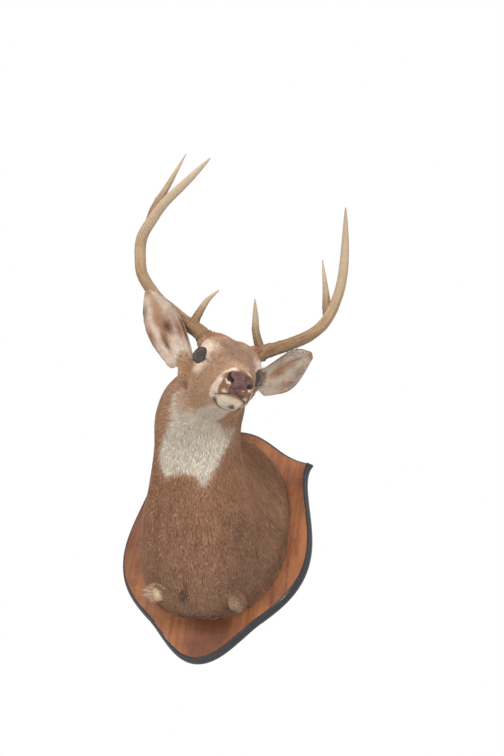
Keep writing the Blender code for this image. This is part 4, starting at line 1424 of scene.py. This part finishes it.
def group(name, inputs, outputs):
    """Makes a node group once, from a function that adds its nodes and returns the group's outputs."""
    def wrap(fill):
        def get():
            tree = bpy.data.node_groups.get(name)
            if tree is None:
                tree = bpy.data.node_groups.new(name, "ShaderNodeTree")
                for label, kind, default in inputs:
                    socket = tree.interface.new_socket(name=label, in_out="INPUT", socket_type=kind)
                    socket.default_value = default
                for label, kind in outputs:
                    tree.interface.new_socket(name=label, in_out="OUTPUT", socket_type=kind)
                s = Shading(tree)
                given = s.add("NodeGroupInput").outputs
                s.feed(s.add("NodeGroupOutput"), **fill(s, given))
            return tree
        return get
    return wrap


@group("Hair strands",
       (("Color", "NodeSocketColor", (0.3, 0.2, 0.1, 1)), ("Scale", "NodeSocketFloat", 900.0),
        ("Amount", "NodeSocketFloat", 0.3)),
       (("Color", "NodeSocketColor"), ("Height", "NodeSocketFloat"), ("Roughness", "NodeSocketFloat")))
def hair_group(s, given):
    """Fine light and dark strands over a colour, and their height."""
    place = s.place()
    fine = s.noise(place, given["Scale"], 2.0)
    broad = s.noise(place, s.maths("MULTIPLY", given["Scale"], 0.12), 3.0)
    both = s.maths("ADD", s.maths("MULTIPLY", fine, 0.65), s.maths("MULTIPLY", broad, 0.35))
    swing = s.ramp(both, 0.3, 0.7, -1.0, 1.0)
    level = s.maths("ADD", s.maths("MULTIPLY", swing, given["Amount"]), 1.0)
    colour = s.add("ShaderNodeVectorMath", operation="SCALE")
    s.feed(colour, n0=given["Color"], Scale=level)
    return {"Color": colour.outputs[0], "Height": both, "Roughness": s.ramp(fine, 0.3, 0.7, 0.62, 0.82)}


@group("Handling wear",
       (("Scale", "NodeSocketFloat", 20.0), ("Least Roughness", "NodeSocketFloat", 0.2),
        ("Most Roughness", "NodeSocketFloat", 0.4)),
       (("Mask", "NodeSocketFloat"), ("Roughness", "NodeSocketFloat"), ("Height", "NodeSocketFloat")))
def wear_group(s, given):
    """Slow handling marks: a mask for paler or duller places, and an uneven roughness."""
    place = s.place()
    patches = s.noise(place, given["Scale"], 5.0, 0.6)
    specks = s.noise(place, s.maths("MULTIPLY", given["Scale"], 14.0), 2.0)
    span = s.maths("SUBTRACT", given["Most Roughness"], given["Least Roughness"])
    rough = s.maths("ADD", s.maths("MULTIPLY", s.ramp(patches, 0.35, 0.65), span), given["Least Roughness"])
    mask = s.ramp(s.maths("MULTIPLY", patches, s.ramp(specks, 0.35, 0.7)), 0.3, 0.6)
    return {"Mask": mask, "Roughness": rough, "Height": specks}


@material("winter_coat_hair")
def coat_material(s):
    hair = s.group(hair_group(), Color=s.attribute("Coat"), Scale=750.0, Amount=0.16)
    return {"Base_Color": hair["Color"], "Roughness": hair["Roughness"],
            "Normal": s.bump(hair["Height"], 0.0002, 0.5),
            "Specular_IOR_Level": 0.35, "Sheen_Weight": 0.12, "Sheen_Roughness": 0.45}


@material("winter_coat_underfur")
def underfur_material(s):
    """The skin between the tufts, a little darker than they are, as painted shade under the coat."""
    # Painted shade: the coat's colour darkened on the skin under the tufts
    dark = s.blend(1.0, s.attribute("Coat"), (0.90, 0.87, 0.85, 1.0), "MULTIPLY")
    hair = s.group(hair_group(), Color=dark, Scale=620.0, Amount=0.24)
    return {"Base_Color": hair["Color"], "Roughness": hair["Roughness"],
            "Normal": s.bump(hair["Height"], 0.0009, 0.9), "Specular_IOR_Level": 0.30}


@material("bare_nose_and_lids")
def bare_material(s):
    """Nose pad, lips and eyelid rims: damp, dark and pebbled."""
    place = s.place()
    pebble = s.add("ShaderNodeTexVoronoi", feature="SMOOTH_F1")
    s.feed(pebble, Vector=place, Scale=520.0, Smoothness=0.4)
    # Painted shade: darker in the cracks between the pebbles
    crack_shade = s.ramp(pebble.outputs["Distance"], 0.25, 0.62)
    shade = s.blend(1.0, s.attribute("Coat"), (0.50, 0.42, 0.42, 1.0), "MULTIPLY")
    colour = s.blend(s.maths("MULTIPLY", crack_shade, 0.8), s.attribute("Coat"), shade)
    pale = s.blend(1.0, s.attribute("Coat"), (1.45, 1.35, 1.32, 1.0), "MULTIPLY")
    colour = s.blend(s.ramp(s.noise(place, 130.0), 0.40, 0.7, 0.0, 0.6), colour, pale)
    stain = s.blend(1.0, colour, (0.42, 0.30, 0.30, 1.0), "MULTIPLY")
    colour = s.blend(s.ramp(s.noise(place, 75.0, 4.0), 0.44, 0.62, 0.0, 0.9), colour, stain)
    return {"Base_Color": colour, "Roughness": s.ramp(s.noise(place, 260.0), 0.3, 0.7, 0.20, 0.38),
            "Normal": s.bump(s.maths("SUBTRACT", 1.0, pebble.outputs["Distance"]), 0.0009, 0.9),
            "Coat_Weight": 0.60, "Coat_Roughness": 0.09}


@material("dark_glass_eye")
def glass_eye_material(s):
    """Slate pupil, whose grey is a painted reflection, streaked brown iris and a dark edge, under clear
    glass.
    """
    iris = s.attribute("iris", "Fac")
    streaks = s.noise(s.place(), 900.0, 2.0)
    brown = s.blend(streaks, rgba(50, 28, 22), rgba(74, 44, 34))
    # Painted reflection: the pupil is slate grey rather than the black of glass
    colour = s.blend(s.ramp(iris, 0.85, 1.15), rgba(42, 42, 44), brown)
    colour = s.blend(s.ramp(iris, 2.0, 2.3), colour, rgba(16, 12, 11))
    return {"Base_Color": colour, "Roughness": s.ramp(streaks, 0.2, 0.8, 0.10, 0.16),
            "Coat_Weight": 1.0, "Coat_Roughness": 0.03}


@material("antler_bone")
def antler_material(s):
    """Tan bone, paler at the tips, with dark grooves along it and small stains."""
    place = s.place()
    tip, groove, base = (s.attribute(key, "Fac") for key in ("tip", "groove", "base"))
    tan = s.blend(s.ramp(s.noise(place, 26.0, 4.0), 0.35, 0.65), rgba(146, 118, 88), rgba(168, 143, 112))
    tan = s.blend(s.ramp(base, 0.0, 1.0, 0.0, 0.7), tan, rgba(138, 108, 78))
    tan = s.blend(s.ramp(tip, 0.35, 0.95, 0.0, 0.85), tan, rgba(192, 176, 152))
    stained = s.blend(s.ramp(s.noise(place, 420.0, 3.0), 0.42, 0.66, 0.0, 0.40), tan, rgba(128, 98, 70))
    in_groove = s.maths("MULTIPLY", groove, s.ramp(tip, 0.3, 0.9, 0.75, 0.1))
    colour = s.blend(in_groove, stained, rgba(118, 88, 60))
    grain = s.noise(s.attribute("grain", "Vector"), 9.0, 3.0, 0.6)
    depth = s.maths("MULTIPLY", s.ramp(grain, 0.56, 0.36), s.ramp(base, 0.0, 0.8, 0.22, 0.85))
    in_grain = s.maths("MULTIPLY", depth, s.ramp(tip, 0.4, 1.0, 1.0, 0.3))
    colour = s.blend(in_grain, colour, rgba(104, 74, 48))
    height = s.maths("ADD", s.maths("MULTIPLY", grain, 2.0), s.noise(place, 700.0, 3.0))
    return {"Base_Color": colour, "Roughness": s.ramp(s.noise(place, 90.0), 0.3, 0.7, 0.38, 0.58),
            "Normal": s.bump(height, 0.0006, 0.6)}


@material("stained_wood_grain")
def wood_material(s, settings):
    """Red-brown stained board: upright grain, fine pores, cloudy stain and paler rubbed places."""
    place = s.place()
    warp = s.noise(s.stretch(place, (9.0, 9.0, 2.2)), 1.0, 3.0)
    shift = s.add("ShaderNodeVectorMath", operation="MULTIPLY_ADD")
    s.feed(shift, n0=warp, n1=(0.06, 0.06, 0.0), n2=place)
    grain = s.noise(s.stretch(shift.outputs[0], (95.0, 95.0, 4.5)), 1.0, 5.0, 0.6)
    pores = s.noise(s.stretch(place, (900.0, 900.0, 34.0)), 1.0, 2.0, 0.5)
    cloud = s.noise(s.stretch(place, (7.0, 7.0, 5.0)), 1.0, 4.0, 0.55)
    colour = s.blend(s.ramp(cloud, 0.40, 0.62), rgba(92, 56, 38), rgba(172, 112, 74))
    colour = s.blend(0.28, colour, (*settings.wood, 1.0))
    colour = s.blend(s.ramp(grain, 0.42, 0.66, 0.0, 0.55), colour, rgba(92, 52, 36))
    colour = s.blend(s.ramp(pores, 0.55, 0.72, 0.0, 0.45), colour, rgba(66, 36, 25))
    wear = s.group(wear_group(), Scale=11.0, Least_Roughness=0.30, Most_Roughness=0.50)
    colour = s.blend(s.maths("MULTIPLY", wear["Mask"], 0.22), colour, rgba(198, 142, 98))
    height = s.maths("ADD", grain, s.maths("MULTIPLY", pores, 0.4))
    return {"Base_Color": colour, "Roughness": wear["Roughness"], "Normal": s.bump(height, 0.0003, 0.5),
            "Coat_Weight": 0.18, "Coat_Roughness": 0.25}


@material("black_rim_gloss")
def rim_material(s):
    wear = s.group(wear_group(), Scale=32.0, Least_Roughness=0.20, Most_Roughness=0.38)
    colour = s.blend(s.maths("MULTIPLY", wear["Mask"], 0.5), rgba(34, 34, 38), rgba(70, 68, 70))
    return {"Base_Color": colour, "Roughness": wear["Roughness"],
            "Normal": s.bump(wear["Height"], 0.0002, 0.35), "Coat_Weight": 0.5, "Coat_Roughness": 0.12}


@material("plated_steel_finish")
def steel_material(s):
    wear = s.group(wear_group(), Scale=150.0, Least_Roughness=0.26, Most_Roughness=0.48)
    colour = s.blend(wear["Mask"], rgba(192, 190, 186), rgba(138, 132, 124))
    return {"Base_Color": colour, "Roughness": wear["Roughness"],
            "Normal": s.bump(wear["Height"], 0.0001, 0.3), "Metallic": 1.0}


@material("studio_floor")
def floor_material(s, settings):
    place = s.place()
    pale = (*settings.floor_colour, 1.0)
    colour = s.blend(s.ramp(s.noise(place, 1.3, 4.0), 0.35, 0.65, 0.0, 0.25), pale, rgba(222, 220, 216))
    return {"Base_Color": colour, "Roughness": s.ramp(s.noise(place, 4.0), 0.3, 0.7, 0.55, 0.72)}


# ---------------------------------------------------------------- eyes

def build_eyes(settings):
    """Glass balls with a large slate pupil, grey as a painted reflection, and dark brown iris, facing out and
    a little ahead.
    """
    for side, sign in SIDES:
        x, y, z = EYE_PLACE
        gaze = Vector((sign * GAZE[0], *GAZE[1:]))
        turn = HEAD.to_3x3() @ gaze.to_track_quat("Z", "Y").to_matrix()
        place = Matrix.Translation(on_head((sign * x, y, z))) @ turn.to_4x4()
        bm = bmesh.new()
        bmesh.ops.create_uvsphere(bm, u_segments=72, v_segments=48, radius=settings.eye_radius, matrix=place)
        bmesh.ops.recalc_face_normals(bm, faces=bm.faces)
        mesh = mesh_from(bm, "eye_" + side)
        h = to_head(coordinates(mesh))
        arc, angle, _, _ = eye_place(h)
        oval = np.hypot(np.cos(angle) * arc / PUPIL_LONG, np.sin(angle) * arc / PUPIL_HIGH)
        store(mesh, "iris", "FLOAT", 0.2 + 0.8 * oval + ease(15.5, 18.0, arc))
        mesh.shade_smooth()
        piece(f"glass_eye_{side}", mesh, ("eye_" + side,), (glass_eye_material(),))


# ---------------------------------------------------------------- antlers

# Points on the crown's axes, each with its radius
BEAMS = {
    "right": ((-50, 50, 38, 9.0), (-62, 62, 59, 15), (-97, 92, 79, 13.5), (-131, 120, 101, 12.5),
              (-163, 143, 122, 12.2), (-200, 164, 159, 12), (-215, 176, 191, 12),
              (-227, 186, 245, 11.8), (-216, 182, 297, 10.8), (-203, 173, 334, 10),
              (-181, 160, 374, 8.8), (-162, 144, 409, 6.4), (-145, 124, 440, 1.6)),
    "left": ((55, 52, 38, 9.0), (66, 62, 62, 14.5), (94, 79, 84, 13), (130, 105, 114, 12.4),
             (167, 132, 151, 12), (194, 152, 196, 11.6), (208, 172, 262, 11),
             (206, 178, 318, 10.4), (193, 168, 369, 8.8), (174, 145, 416, 4.8),
             (162, 128, 440, 1.5)),
}
BROW_TINES = {
    "right": ((-84, 76, 76, 10), (-79, 72, 101, 7.8), (-71, 66, 130, 5.6), (-55, 58, 157, 1.4)),
    "left": ((62, 73, 70, 10), (42, 68, 102, 7.8), (31, 60, 130, 6), (18, 48, 161, 1.4)),
}
SECOND_TINES = {
    "right": ((-223, 182, 268, 6), (-222, 190, 292, 8.4), (-220, 196, 321, 8.2), (-207, 203, 378, 6.6),
              (-190, 205, 462, 1.4)),
    "left": ((194, 154, 198, 7), (191, 178, 232, 8.6), (184, 193, 268, 7), (160, 205, 338, 1.4)),
}
THIRD_TINES = {"right": ((-219, 184, 296, 5), (-222, 197, 318, 3.6), (-224, 205, 348, 1.2)), "left": None}
# Burr round the foot of each beam: how far along it lies, half its width, and how far it stands out
BURR_AT = 0.021
BURR_WIDE = 0.0045
BURR_OUT = 0.0022
# A tine's foot counts as this far along the beam, and as this part of the way to a tip
TINE_ALONG = 0.10
TINE_START = 0.25


def spline_at(rows, t):
    """Catmull-Rom value of a list of equal-length tuples at t in 0..len(rows)-1."""
    last = len(rows) - 1
    i = min(int(t), last - 1)
    f = t - i
    quad = [rows[max(i - 1, 0)], rows[i], rows[i + 1], rows[min(i + 2, last)]]
    return tuple(0.5 * (2 * b + (c - a) * f + (2 * a - 5 * b + 4 * c - d) * f * f
                        + (3 * b - a - 3 * c + d) * f ** 3) for a, b, c, d in zip(*quad))


def resample(rows, per_span):
    """Points along a smooth route through rows, the same number from each row to the next."""
    count = (len(rows) - 1) * per_span
    return [spline_at(rows, k / per_span) for k in range(count + 1)]


def bar(bm, points):
    """Adds a round tapering bar through points to a bmesh."""
    curve = bpy.data.curves.new("bar", "CURVE")
    curve.dimensions = "3D"
    curve.bevel_depth = MM
    curve.bevel_resolution = 6
    curve.use_fill_caps = True
    spline = curve.splines.new("POLY")
    spline.points.add(len(points) - 1)
    for dot, (x, y, z, radius) in zip(spline.points, points):
        dot.co = (*on_crown((x, y, z)), 1.0)
        dot.radius = radius
    route = bpy.data.objects.new("bar_route", curve)
    bpy.context.scene.collection.objects.link(route)
    graph = bpy.context.evaluated_depsgraph_get()
    mesh = bpy.data.meshes.new_from_object(route.evaluated_get(graph))
    bpy.data.objects.remove(route, do_unlink=True)
    bpy.data.curves.remove(curve)
    bm.from_mesh(mesh)
    bpy.data.meshes.remove(mesh)


def along_bars(points, routes):
    """Way out of the nearest bar at each point of an antler, distance along that bar, and part of the way
    to its tip.  The first bar is the beam."""
    best = np.full(len(points), np.inf)
    along, tip = np.zeros(len(points)), np.zeros(len(points))
    outward = np.zeros_like(points)
    for number, route in enumerate(routes):
        line = np.array([(*on_crown(row[:3]), row[3] * MM) for row in route])
        steps = np.linalg.norm(np.diff(line[:, :3], axis=0), axis=1)
        travelled = np.concatenate([[0.0], np.cumsum(steps)])
        gaps = np.linalg.norm(points[:, None, :] - line[None, :, :3], axis=2) - line[None, :, 3]
        nearest = gaps.argmin(axis=1)
        closest = gaps[np.arange(len(points)), nearest]
        mine = closest < best
        best = np.where(mine, closest, best)
        axis = unit(np.gradient(line[:, :3], axis=0))[nearest]
        out = points - line[nearest, :3]
        place = travelled[nearest] + dots(out, axis)
        out = unit(out - axis * dots(out, axis)[:, None])
        outward[mine] = out[mine]
        along[mine] = place[mine] + (TINE_ALONG if number else 0.0)
        tip[mine] = (place / travelled[-1])[mine]
        if number:
            tip[mine] = TINE_START + (1.0 - TINE_START) * tip[mine]
    return outward, along, tip


def shape_bone(mesh, routes):
    """Grooves, pearls and the burr, from each point's place along and round its bar."""
    points = coordinates(mesh)
    outward, along, tip = along_bars(points, routes)
    grooves = np.empty(len(points))
    pearls = np.empty(len(points))
    for k, (out, far, spot) in enumerate(zip(outward, along, points)):
        lengthwise = Vector(out * 5.5) + Vector((far * 9.0, 0.0, far * 7.0))
        grooves[k] = noise.noise(lengthwise) + 0.45 * noise.noise(lengthwise * 2.3)
        pearls[k] = noise.noise(Vector(spot) * 230.0)
    base = ease(0.26, 0.05, along) * (tip < 0.6)
    rough = ease(1.0, 0.45, tip)
    move = (0.0007 + 0.0007 * base) * grooves * rough + 0.0013 * np.clip(pearls, 0.0, 1.0) * base
    move += 0.0009 * np.abs(pearls) * base
    burr = bell(np.abs(along - BURR_AT), BURR_WIDE) * (tip < 0.5)
    move += BURR_OUT * burr * (0.75 + 0.9 * np.clip(pearls + 0.2, 0, 1))
    points = points + outward * move[:, None]
    mesh.vertices.foreach_set("co", points.ravel())
    store(mesh, "tip", "FLOAT", tip)
    store(mesh, "groove", "FLOAT", ease(0.05, -0.45, grooves) * rough)
    store(mesh, "grain", "FLOAT_VECTOR", outward + along[:, None] * np.array((3.2, 0.0, 2.6)))
    store(mesh, "base", "FLOAT", base)


def build_antlers(settings):
    """Each antler's beam and tines as one bone, with grooves, pearls and a burr."""
    for side, _ in SIDES:
        rows = [table[side] for table in (BEAMS, BROW_TINES, SECOND_TINES, THIRD_TINES) if table[side]]
        routes = [resample(points, 6) for points in rows]
        bm = bmesh.new()
        for route in routes:
            bar(bm, route)
        bmesh.ops.remove_doubles(bm, verts=bm.verts, dist=WELD)
        bm = remeshed(bm, "antler", settings.antler_voxel)
        largest_island(bm)
        mesh = mesh_from(bm, "antler_" + side)
        points = relax(coordinates(mesh), edge_ends(mesh), np.ones(len(mesh.vertices)), 6)
        mesh.vertices.foreach_set("co", points.ravel())
        shape_bone(mesh, routes)
        mesh.update()
        mesh.shade_smooth()
        nodes = [name for name in NODES if name.startswith("antler_" + side)]
        piece("antlers_" + side, mesh, nodes, (antler_material(),))


# ---------------------------------------------------------------- board

BOARD_TOP = 0.2715
BOARD_BOTTOM = -0.2675
BOARD_HALF_WIDTH = 0.2040
RIM_WIDTH = 0.0070
# Upper corner of the shield, gap between its edge and its panel, and limit on how far corners are mitred
EAR_CORNER = (0.1805, 0.1895)
GAP = 0.0003
SHARPEST_MITRE = 0.45
# Curves down the deer's left half of the shield, each with its ends and handles
OUTLINE_SPANS = (
    ((0.0, BOARD_TOP), (0.079, BOARD_TOP), (0.100, 0.2010), EAR_CORNER),
    (EAR_CORNER, (0.1550, 0.1560), (BOARD_HALF_WIDTH, 0.0560), (BOARD_HALF_WIDTH, -0.0200)),
    ((BOARD_HALF_WIDTH, -0.0200), (BOARD_HALF_WIDTH, -0.0950), (0.1660, -0.1370), (0.1180, -0.1780)),
    ((0.1180, -0.1780), (0.0840, -0.2085), (0.0500, BOARD_BOTTOM), (0.0, BOARD_BOTTOM)),
)
# Routed section of the black edge: distance in from the outline, and height above the back
RIM_SECTION = (
    (0.0008, 0.0000), (0.0000, 0.0010), (0.0000, 0.0085), (0.0003, 0.0102), (0.0012, 0.0114),
    (0.0020, 0.0122), (0.0021, 0.0140), (0.0024, 0.0162), (0.0034, 0.0182), (0.0048, 0.0194),
    (0.0060, 0.0201), (RIM_WIDTH - GAP, BOARD_THICK), (RIM_WIDTH - GAP, 0.0000),
)


def bezier(span, t):
    """Point at t on a curve given by its ends and handles."""
    a, b, c, d = (Vector(p) for p in span)
    s = 1 - t
    return a * s ** 3 + b * 3 * s * s * t + c * 3 * s * t * t + d * t ** 3


def outline_points(steps):
    """The shield's outline, from the middle of its top down the deer's left and up the right."""
    half = [bezier(span, k / steps) for span in OUTLINE_SPANS for k in range(steps)]
    half.append(Vector(OUTLINE_SPANS[-1][-1]))
    return half + [Vector((-p.x, p.y)) for p in reversed(half[1:-1])]


def inset_points(points, by):
    """The outline moved inwards by an even distance, mitred at its corners."""
    moved = []
    count = len(points)
    for k, here in enumerate(points):
        before = (here - points[k - 1]).normalized()
        after = (points[(k + 1) % count] - here).normalized()
        inward = Vector((before.y + after.y, -before.x - after.x)).normalized()
        stretch = max(SHARPEST_MITRE, math.sqrt(max(0.0, (1 + before.dot(after)) / 2)))
        moved.append(here + inward * (by / stretch))
    return moved


def build_board(settings):
    """The routed black edge is shaped anew, and the panel and hanger keep their solids."""
    bm = bmesh.new()
    outline = outline_points(settings.outline_steps)
    loops = []
    for by, height in RIM_SECTION:
        ring = [bm.verts.new((p.x, -height, p.y)) for p in inset_points(outline, by)]
        loops.append([bm.edges.new((ring[k - 1], ring[k])) for k in range(len(ring))])
    for first, second in zip(loops, loops[1:] + loops[:1]):
        bmesh.ops.bridge_loops(bm, edges=first + second)
    bmesh.ops.recalc_face_normals(bm, faces=bm.faces)
    mesh = mesh_from(bm, "rim")
    mesh.shade_smooth()
    mesh.set_sharp_from_angle(angle=math.radians(38))
    piece("routed_rim", mesh, ("board_rim",), (rim_material(),))
    for name, mat in (("board_panel", wood_material(settings)), ("hanger_plate", steel_material()),
                      ("hanger_screw_1", steel_material()), ("hanger_screw_2", steel_material())):
        for slot in NODES[name].material_slots:
            slot.material = mat


# ---------------------------------------------------------------- floor, lights and camera

CAMERA_PLACE = Vector((0.94520, -2.47472, -1.29995))
CAMERA_AHEAD = Vector((-0.29720, 0.78350, 0.54570))
CAMERA_UP = Vector((0.02324, -0.56542, 0.82447))
CAMERA_LENS = 66.67
SENSOR = 36.0
FLOOR_Z = -2.0
FLOOR_HALF = 4.0
# Point that every lamp faces
AIM = Vector((0.0, -0.20, 0.10))
# Soft lights: name, place, width and power in watts
LIGHTS = (
    ("key_softbox", (-1.3, -2.3, 1.5), 1.6, 52.0),
    ("fill_softbox", (2.2, -1.9, 0.6), 1.8, 44.0),
    ("low_softbox", (0.3, -2.6, -1.3), 1.6, 30.0),
    ("top_softbox", (0.2, -0.9, 2.4), 1.4, 22.0),
)
# Lamps seen only in shiny places: name, place, width and power in watts
GLINTS = (
    ("nose_spark", (1.84, -1.93, -0.90), 0.16, 4.0),
    ("eye_spark_right", (0.14, -2.49, -0.69), 0.18, 5.0),
    ("eye_spark_left", (1.77, -1.49, -0.90), 0.18, 5.0),
    ("window_glow", (-2.10, -0.95, -0.20), 3.20, 2.0),
)


def aimed(place, ahead, up):
    """Place and turn of something that looks ahead."""
    back = -ahead.normalized()
    across = up.cross(back).normalized()
    turn = Matrix((across, back.cross(across), back)).transposed()
    return Matrix.Translation(place) @ turn.to_4x4()


def build_stage(settings):
    """Floor, soft lights, the glow from all round and the camera."""
    scene = bpy.context.scene
    bm = bmesh.new()
    bmesh.ops.create_grid(bm, x_segments=8, y_segments=8, size=FLOOR_HALF,
                          matrix=Matrix.Translation((0, -1, FLOOR_Z)))
    mesh = mesh_from(bm, "floor")
    mesh.materials.append(floor_material(settings))
    floor = bpy.data.objects.new("studio_floor", mesh)
    scene.collection.objects.link(floor)
    for name, place, width, power in LIGHTS + GLINTS:
        lamp = bpy.data.lights.new(name, "AREA")
        lamp.shape = "DISK"
        lamp.size = width
        lamp.energy = power * settings.light
        obj = bpy.data.objects.new(name, lamp)
        obj.matrix_world = aimed(Vector(place), AIM - Vector(place), Vector((0, 0, 1)))
        obj.visible_glossy = (name, place, width, power) in GLINTS
        obj.visible_diffuse = not obj.visible_glossy
        scene.collection.objects.link(obj)
    world = bpy.data.worlds.new("studio")
    world.use_nodes = True
    scene.world = world
    s = Shading(world.node_tree)
    seen = world.node_tree.nodes["Background"]
    seen.inputs["Color"].default_value = (1, 1, 1, 1)
    glow = s.add("ShaderNodeBackground")
    s.feed(glow, Color=(1.0, 0.99, 0.975, 1.0), Strength=settings.ambient)
    pick = s.add("ShaderNodeMixShader")
    at_camera = s.add("ShaderNodeLightPath").outputs["Is Camera Ray"]
    s.feed(pick, n0=at_camera, n1=glow.outputs[0], n2=seen.outputs[0])
    s.feed(world.node_tree.nodes["World Output"], Surface=pick.outputs[0])
    scene.view_settings.view_transform = "Standard"
    camera = bpy.data.cameras.new("camera")
    camera.sensor_width = SENSOR
    camera.lens = CAMERA_LENS
    camera.clip_start = 0.05
    viewer = bpy.data.objects.new("camera", camera)
    viewer.matrix_world = aimed(CAMERA_PLACE, CAMERA_AHEAD, CAMERA_UP)
    scene.collection.objects.link(viewer)
    scene.camera = viewer


# ---------------------------------------------------------------- add-on

class DeerSettings(bpy.types.PropertyGroup):
    """Sizes and colours of the mount."""

    skin_voxel: FloatProperty(name="Skin detail", description="Grid that the flesh solids are joined on",
                              default=0.0026, min=0.0015, max=0.006, unit="LENGTH")
    tufts: IntProperty(name="Tufts", description="How many tufts the coat has", default=140000, min=1000)
    hair_length: FloatProperty(name="Hair length", description="Length of every tuft, times its usual length",
                               default=1.0, min=0.3, max=2.0)
    hair_width: FloatProperty(name="Hair width", description="Width of every tuft, times its usual width",
                              default=1.0, min=0.3, max=3.0)
    eye_radius: FloatProperty(name="Eye radius", description="Radius of the glass eyes",
                              default=EYE_RADIUS * MM, unit="LENGTH")
    antler_voxel: FloatProperty(name="Antler detail", description="Grid that the antler bars are joined on",
                                default=0.0015, min=0.001, max=0.004, unit="LENGTH")
    outline_steps: IntProperty(name="Outline steps", description="Steps along each curve of the shield",
                               default=26, min=8, max=80)
    wood: FloatVectorProperty(name="Wood", description="Stain of the board", subtype="COLOR", size=3,
                              default=tuple(linear(140, 84, 54)))
    floor_colour: FloatVectorProperty(name="Floor", description="Colour of the studio floor", subtype="COLOR",
                                      size=3, default=tuple(linear(232, 230, 226)))
    light: FloatProperty(name="Light", description="Strength of the softboxes", default=1.0, min=0.0)
    ambient: FloatProperty(name="Ambient", description="Strength of the light from all round", default=0.55,
                           min=0.0)


class BuildStep(bpy.types.Operator):
    """Shared run of every build step."""

    bl_options = {"REGISTER", "UNDO"}
    make = None

    def execute(self, context):
        type(self).make(context.scene.deer_mount)
        return {"FINISHED"}


class DEER_OT_skin(BuildStep):
    """Join the flesh into one skin with lids, nostrils, mouth and markings"""

    bl_idname = "deer.skin"
    bl_label = "Skin"
    make = staticmethod(build_skin)


class DEER_OT_coat(BuildStep):
    """Cover the skin with tufts of hair"""

    bl_idname = "deer.coat"
    bl_label = "Coat"
    make = staticmethod(build_coat)


class DEER_OT_eyes(BuildStep):
    """Set the glass eyes"""

    bl_idname = "deer.eyes"
    bl_label = "Eyes"
    make = staticmethod(build_eyes)


class DEER_OT_antlers(BuildStep):
    """Shape both antlers with their grooves, pearls and burrs"""

    bl_idname = "deer.antlers"
    bl_label = "Antlers"
    make = staticmethod(build_antlers)


class DEER_OT_board(BuildStep):
    """Shape the board's rim and finish its wood and hanger"""

    bl_idname = "deer.board"
    bl_label = "Board"
    make = staticmethod(build_board)


class DEER_OT_stage(BuildStep):
    """Set the floor, soft lights and camera"""

    bl_idname = "deer.stage"
    bl_label = "Stage"
    make = staticmethod(build_stage)


STEPS = (DEER_OT_skin, DEER_OT_coat, DEER_OT_eyes, DEER_OT_antlers, DEER_OT_board, DEER_OT_stage)


class DEER_PT_mount(bpy.types.Panel):
    """Build steps and settings of the mount"""

    bl_idname = "DEER_PT_mount"
    bl_label = "Deer mount"
    bl_space_type = "VIEW_3D"
    bl_region_type = "UI"
    bl_category = "Deer mount"

    def draw(self, context):
        settings = context.scene.deer_mount
        for name in DeerSettings.__annotations__:
            self.layout.prop(settings, name)
        for step in STEPS:
            self.layout.operator(step.bl_idname)


CLASSES = (DeerSettings, *STEPS, DEER_PT_mount)


def register():
    for cls in CLASSES:
        bpy.utils.register_class(cls)
    bpy.types.Scene.deer_mount = PointerProperty(type=DeerSettings)


def unregister():
    del bpy.types.Scene.deer_mount
    for cls in reversed(CLASSES):
        bpy.utils.unregister_class(cls)


def main():
    register()
    bpy.ops.deer.skin()
    bpy.ops.deer.coat()
    bpy.ops.deer.eyes()
    bpy.ops.deer.antlers()
    bpy.ops.deer.board()
    bpy.ops.deer.stage()


if __name__ == "__main__":
    main()
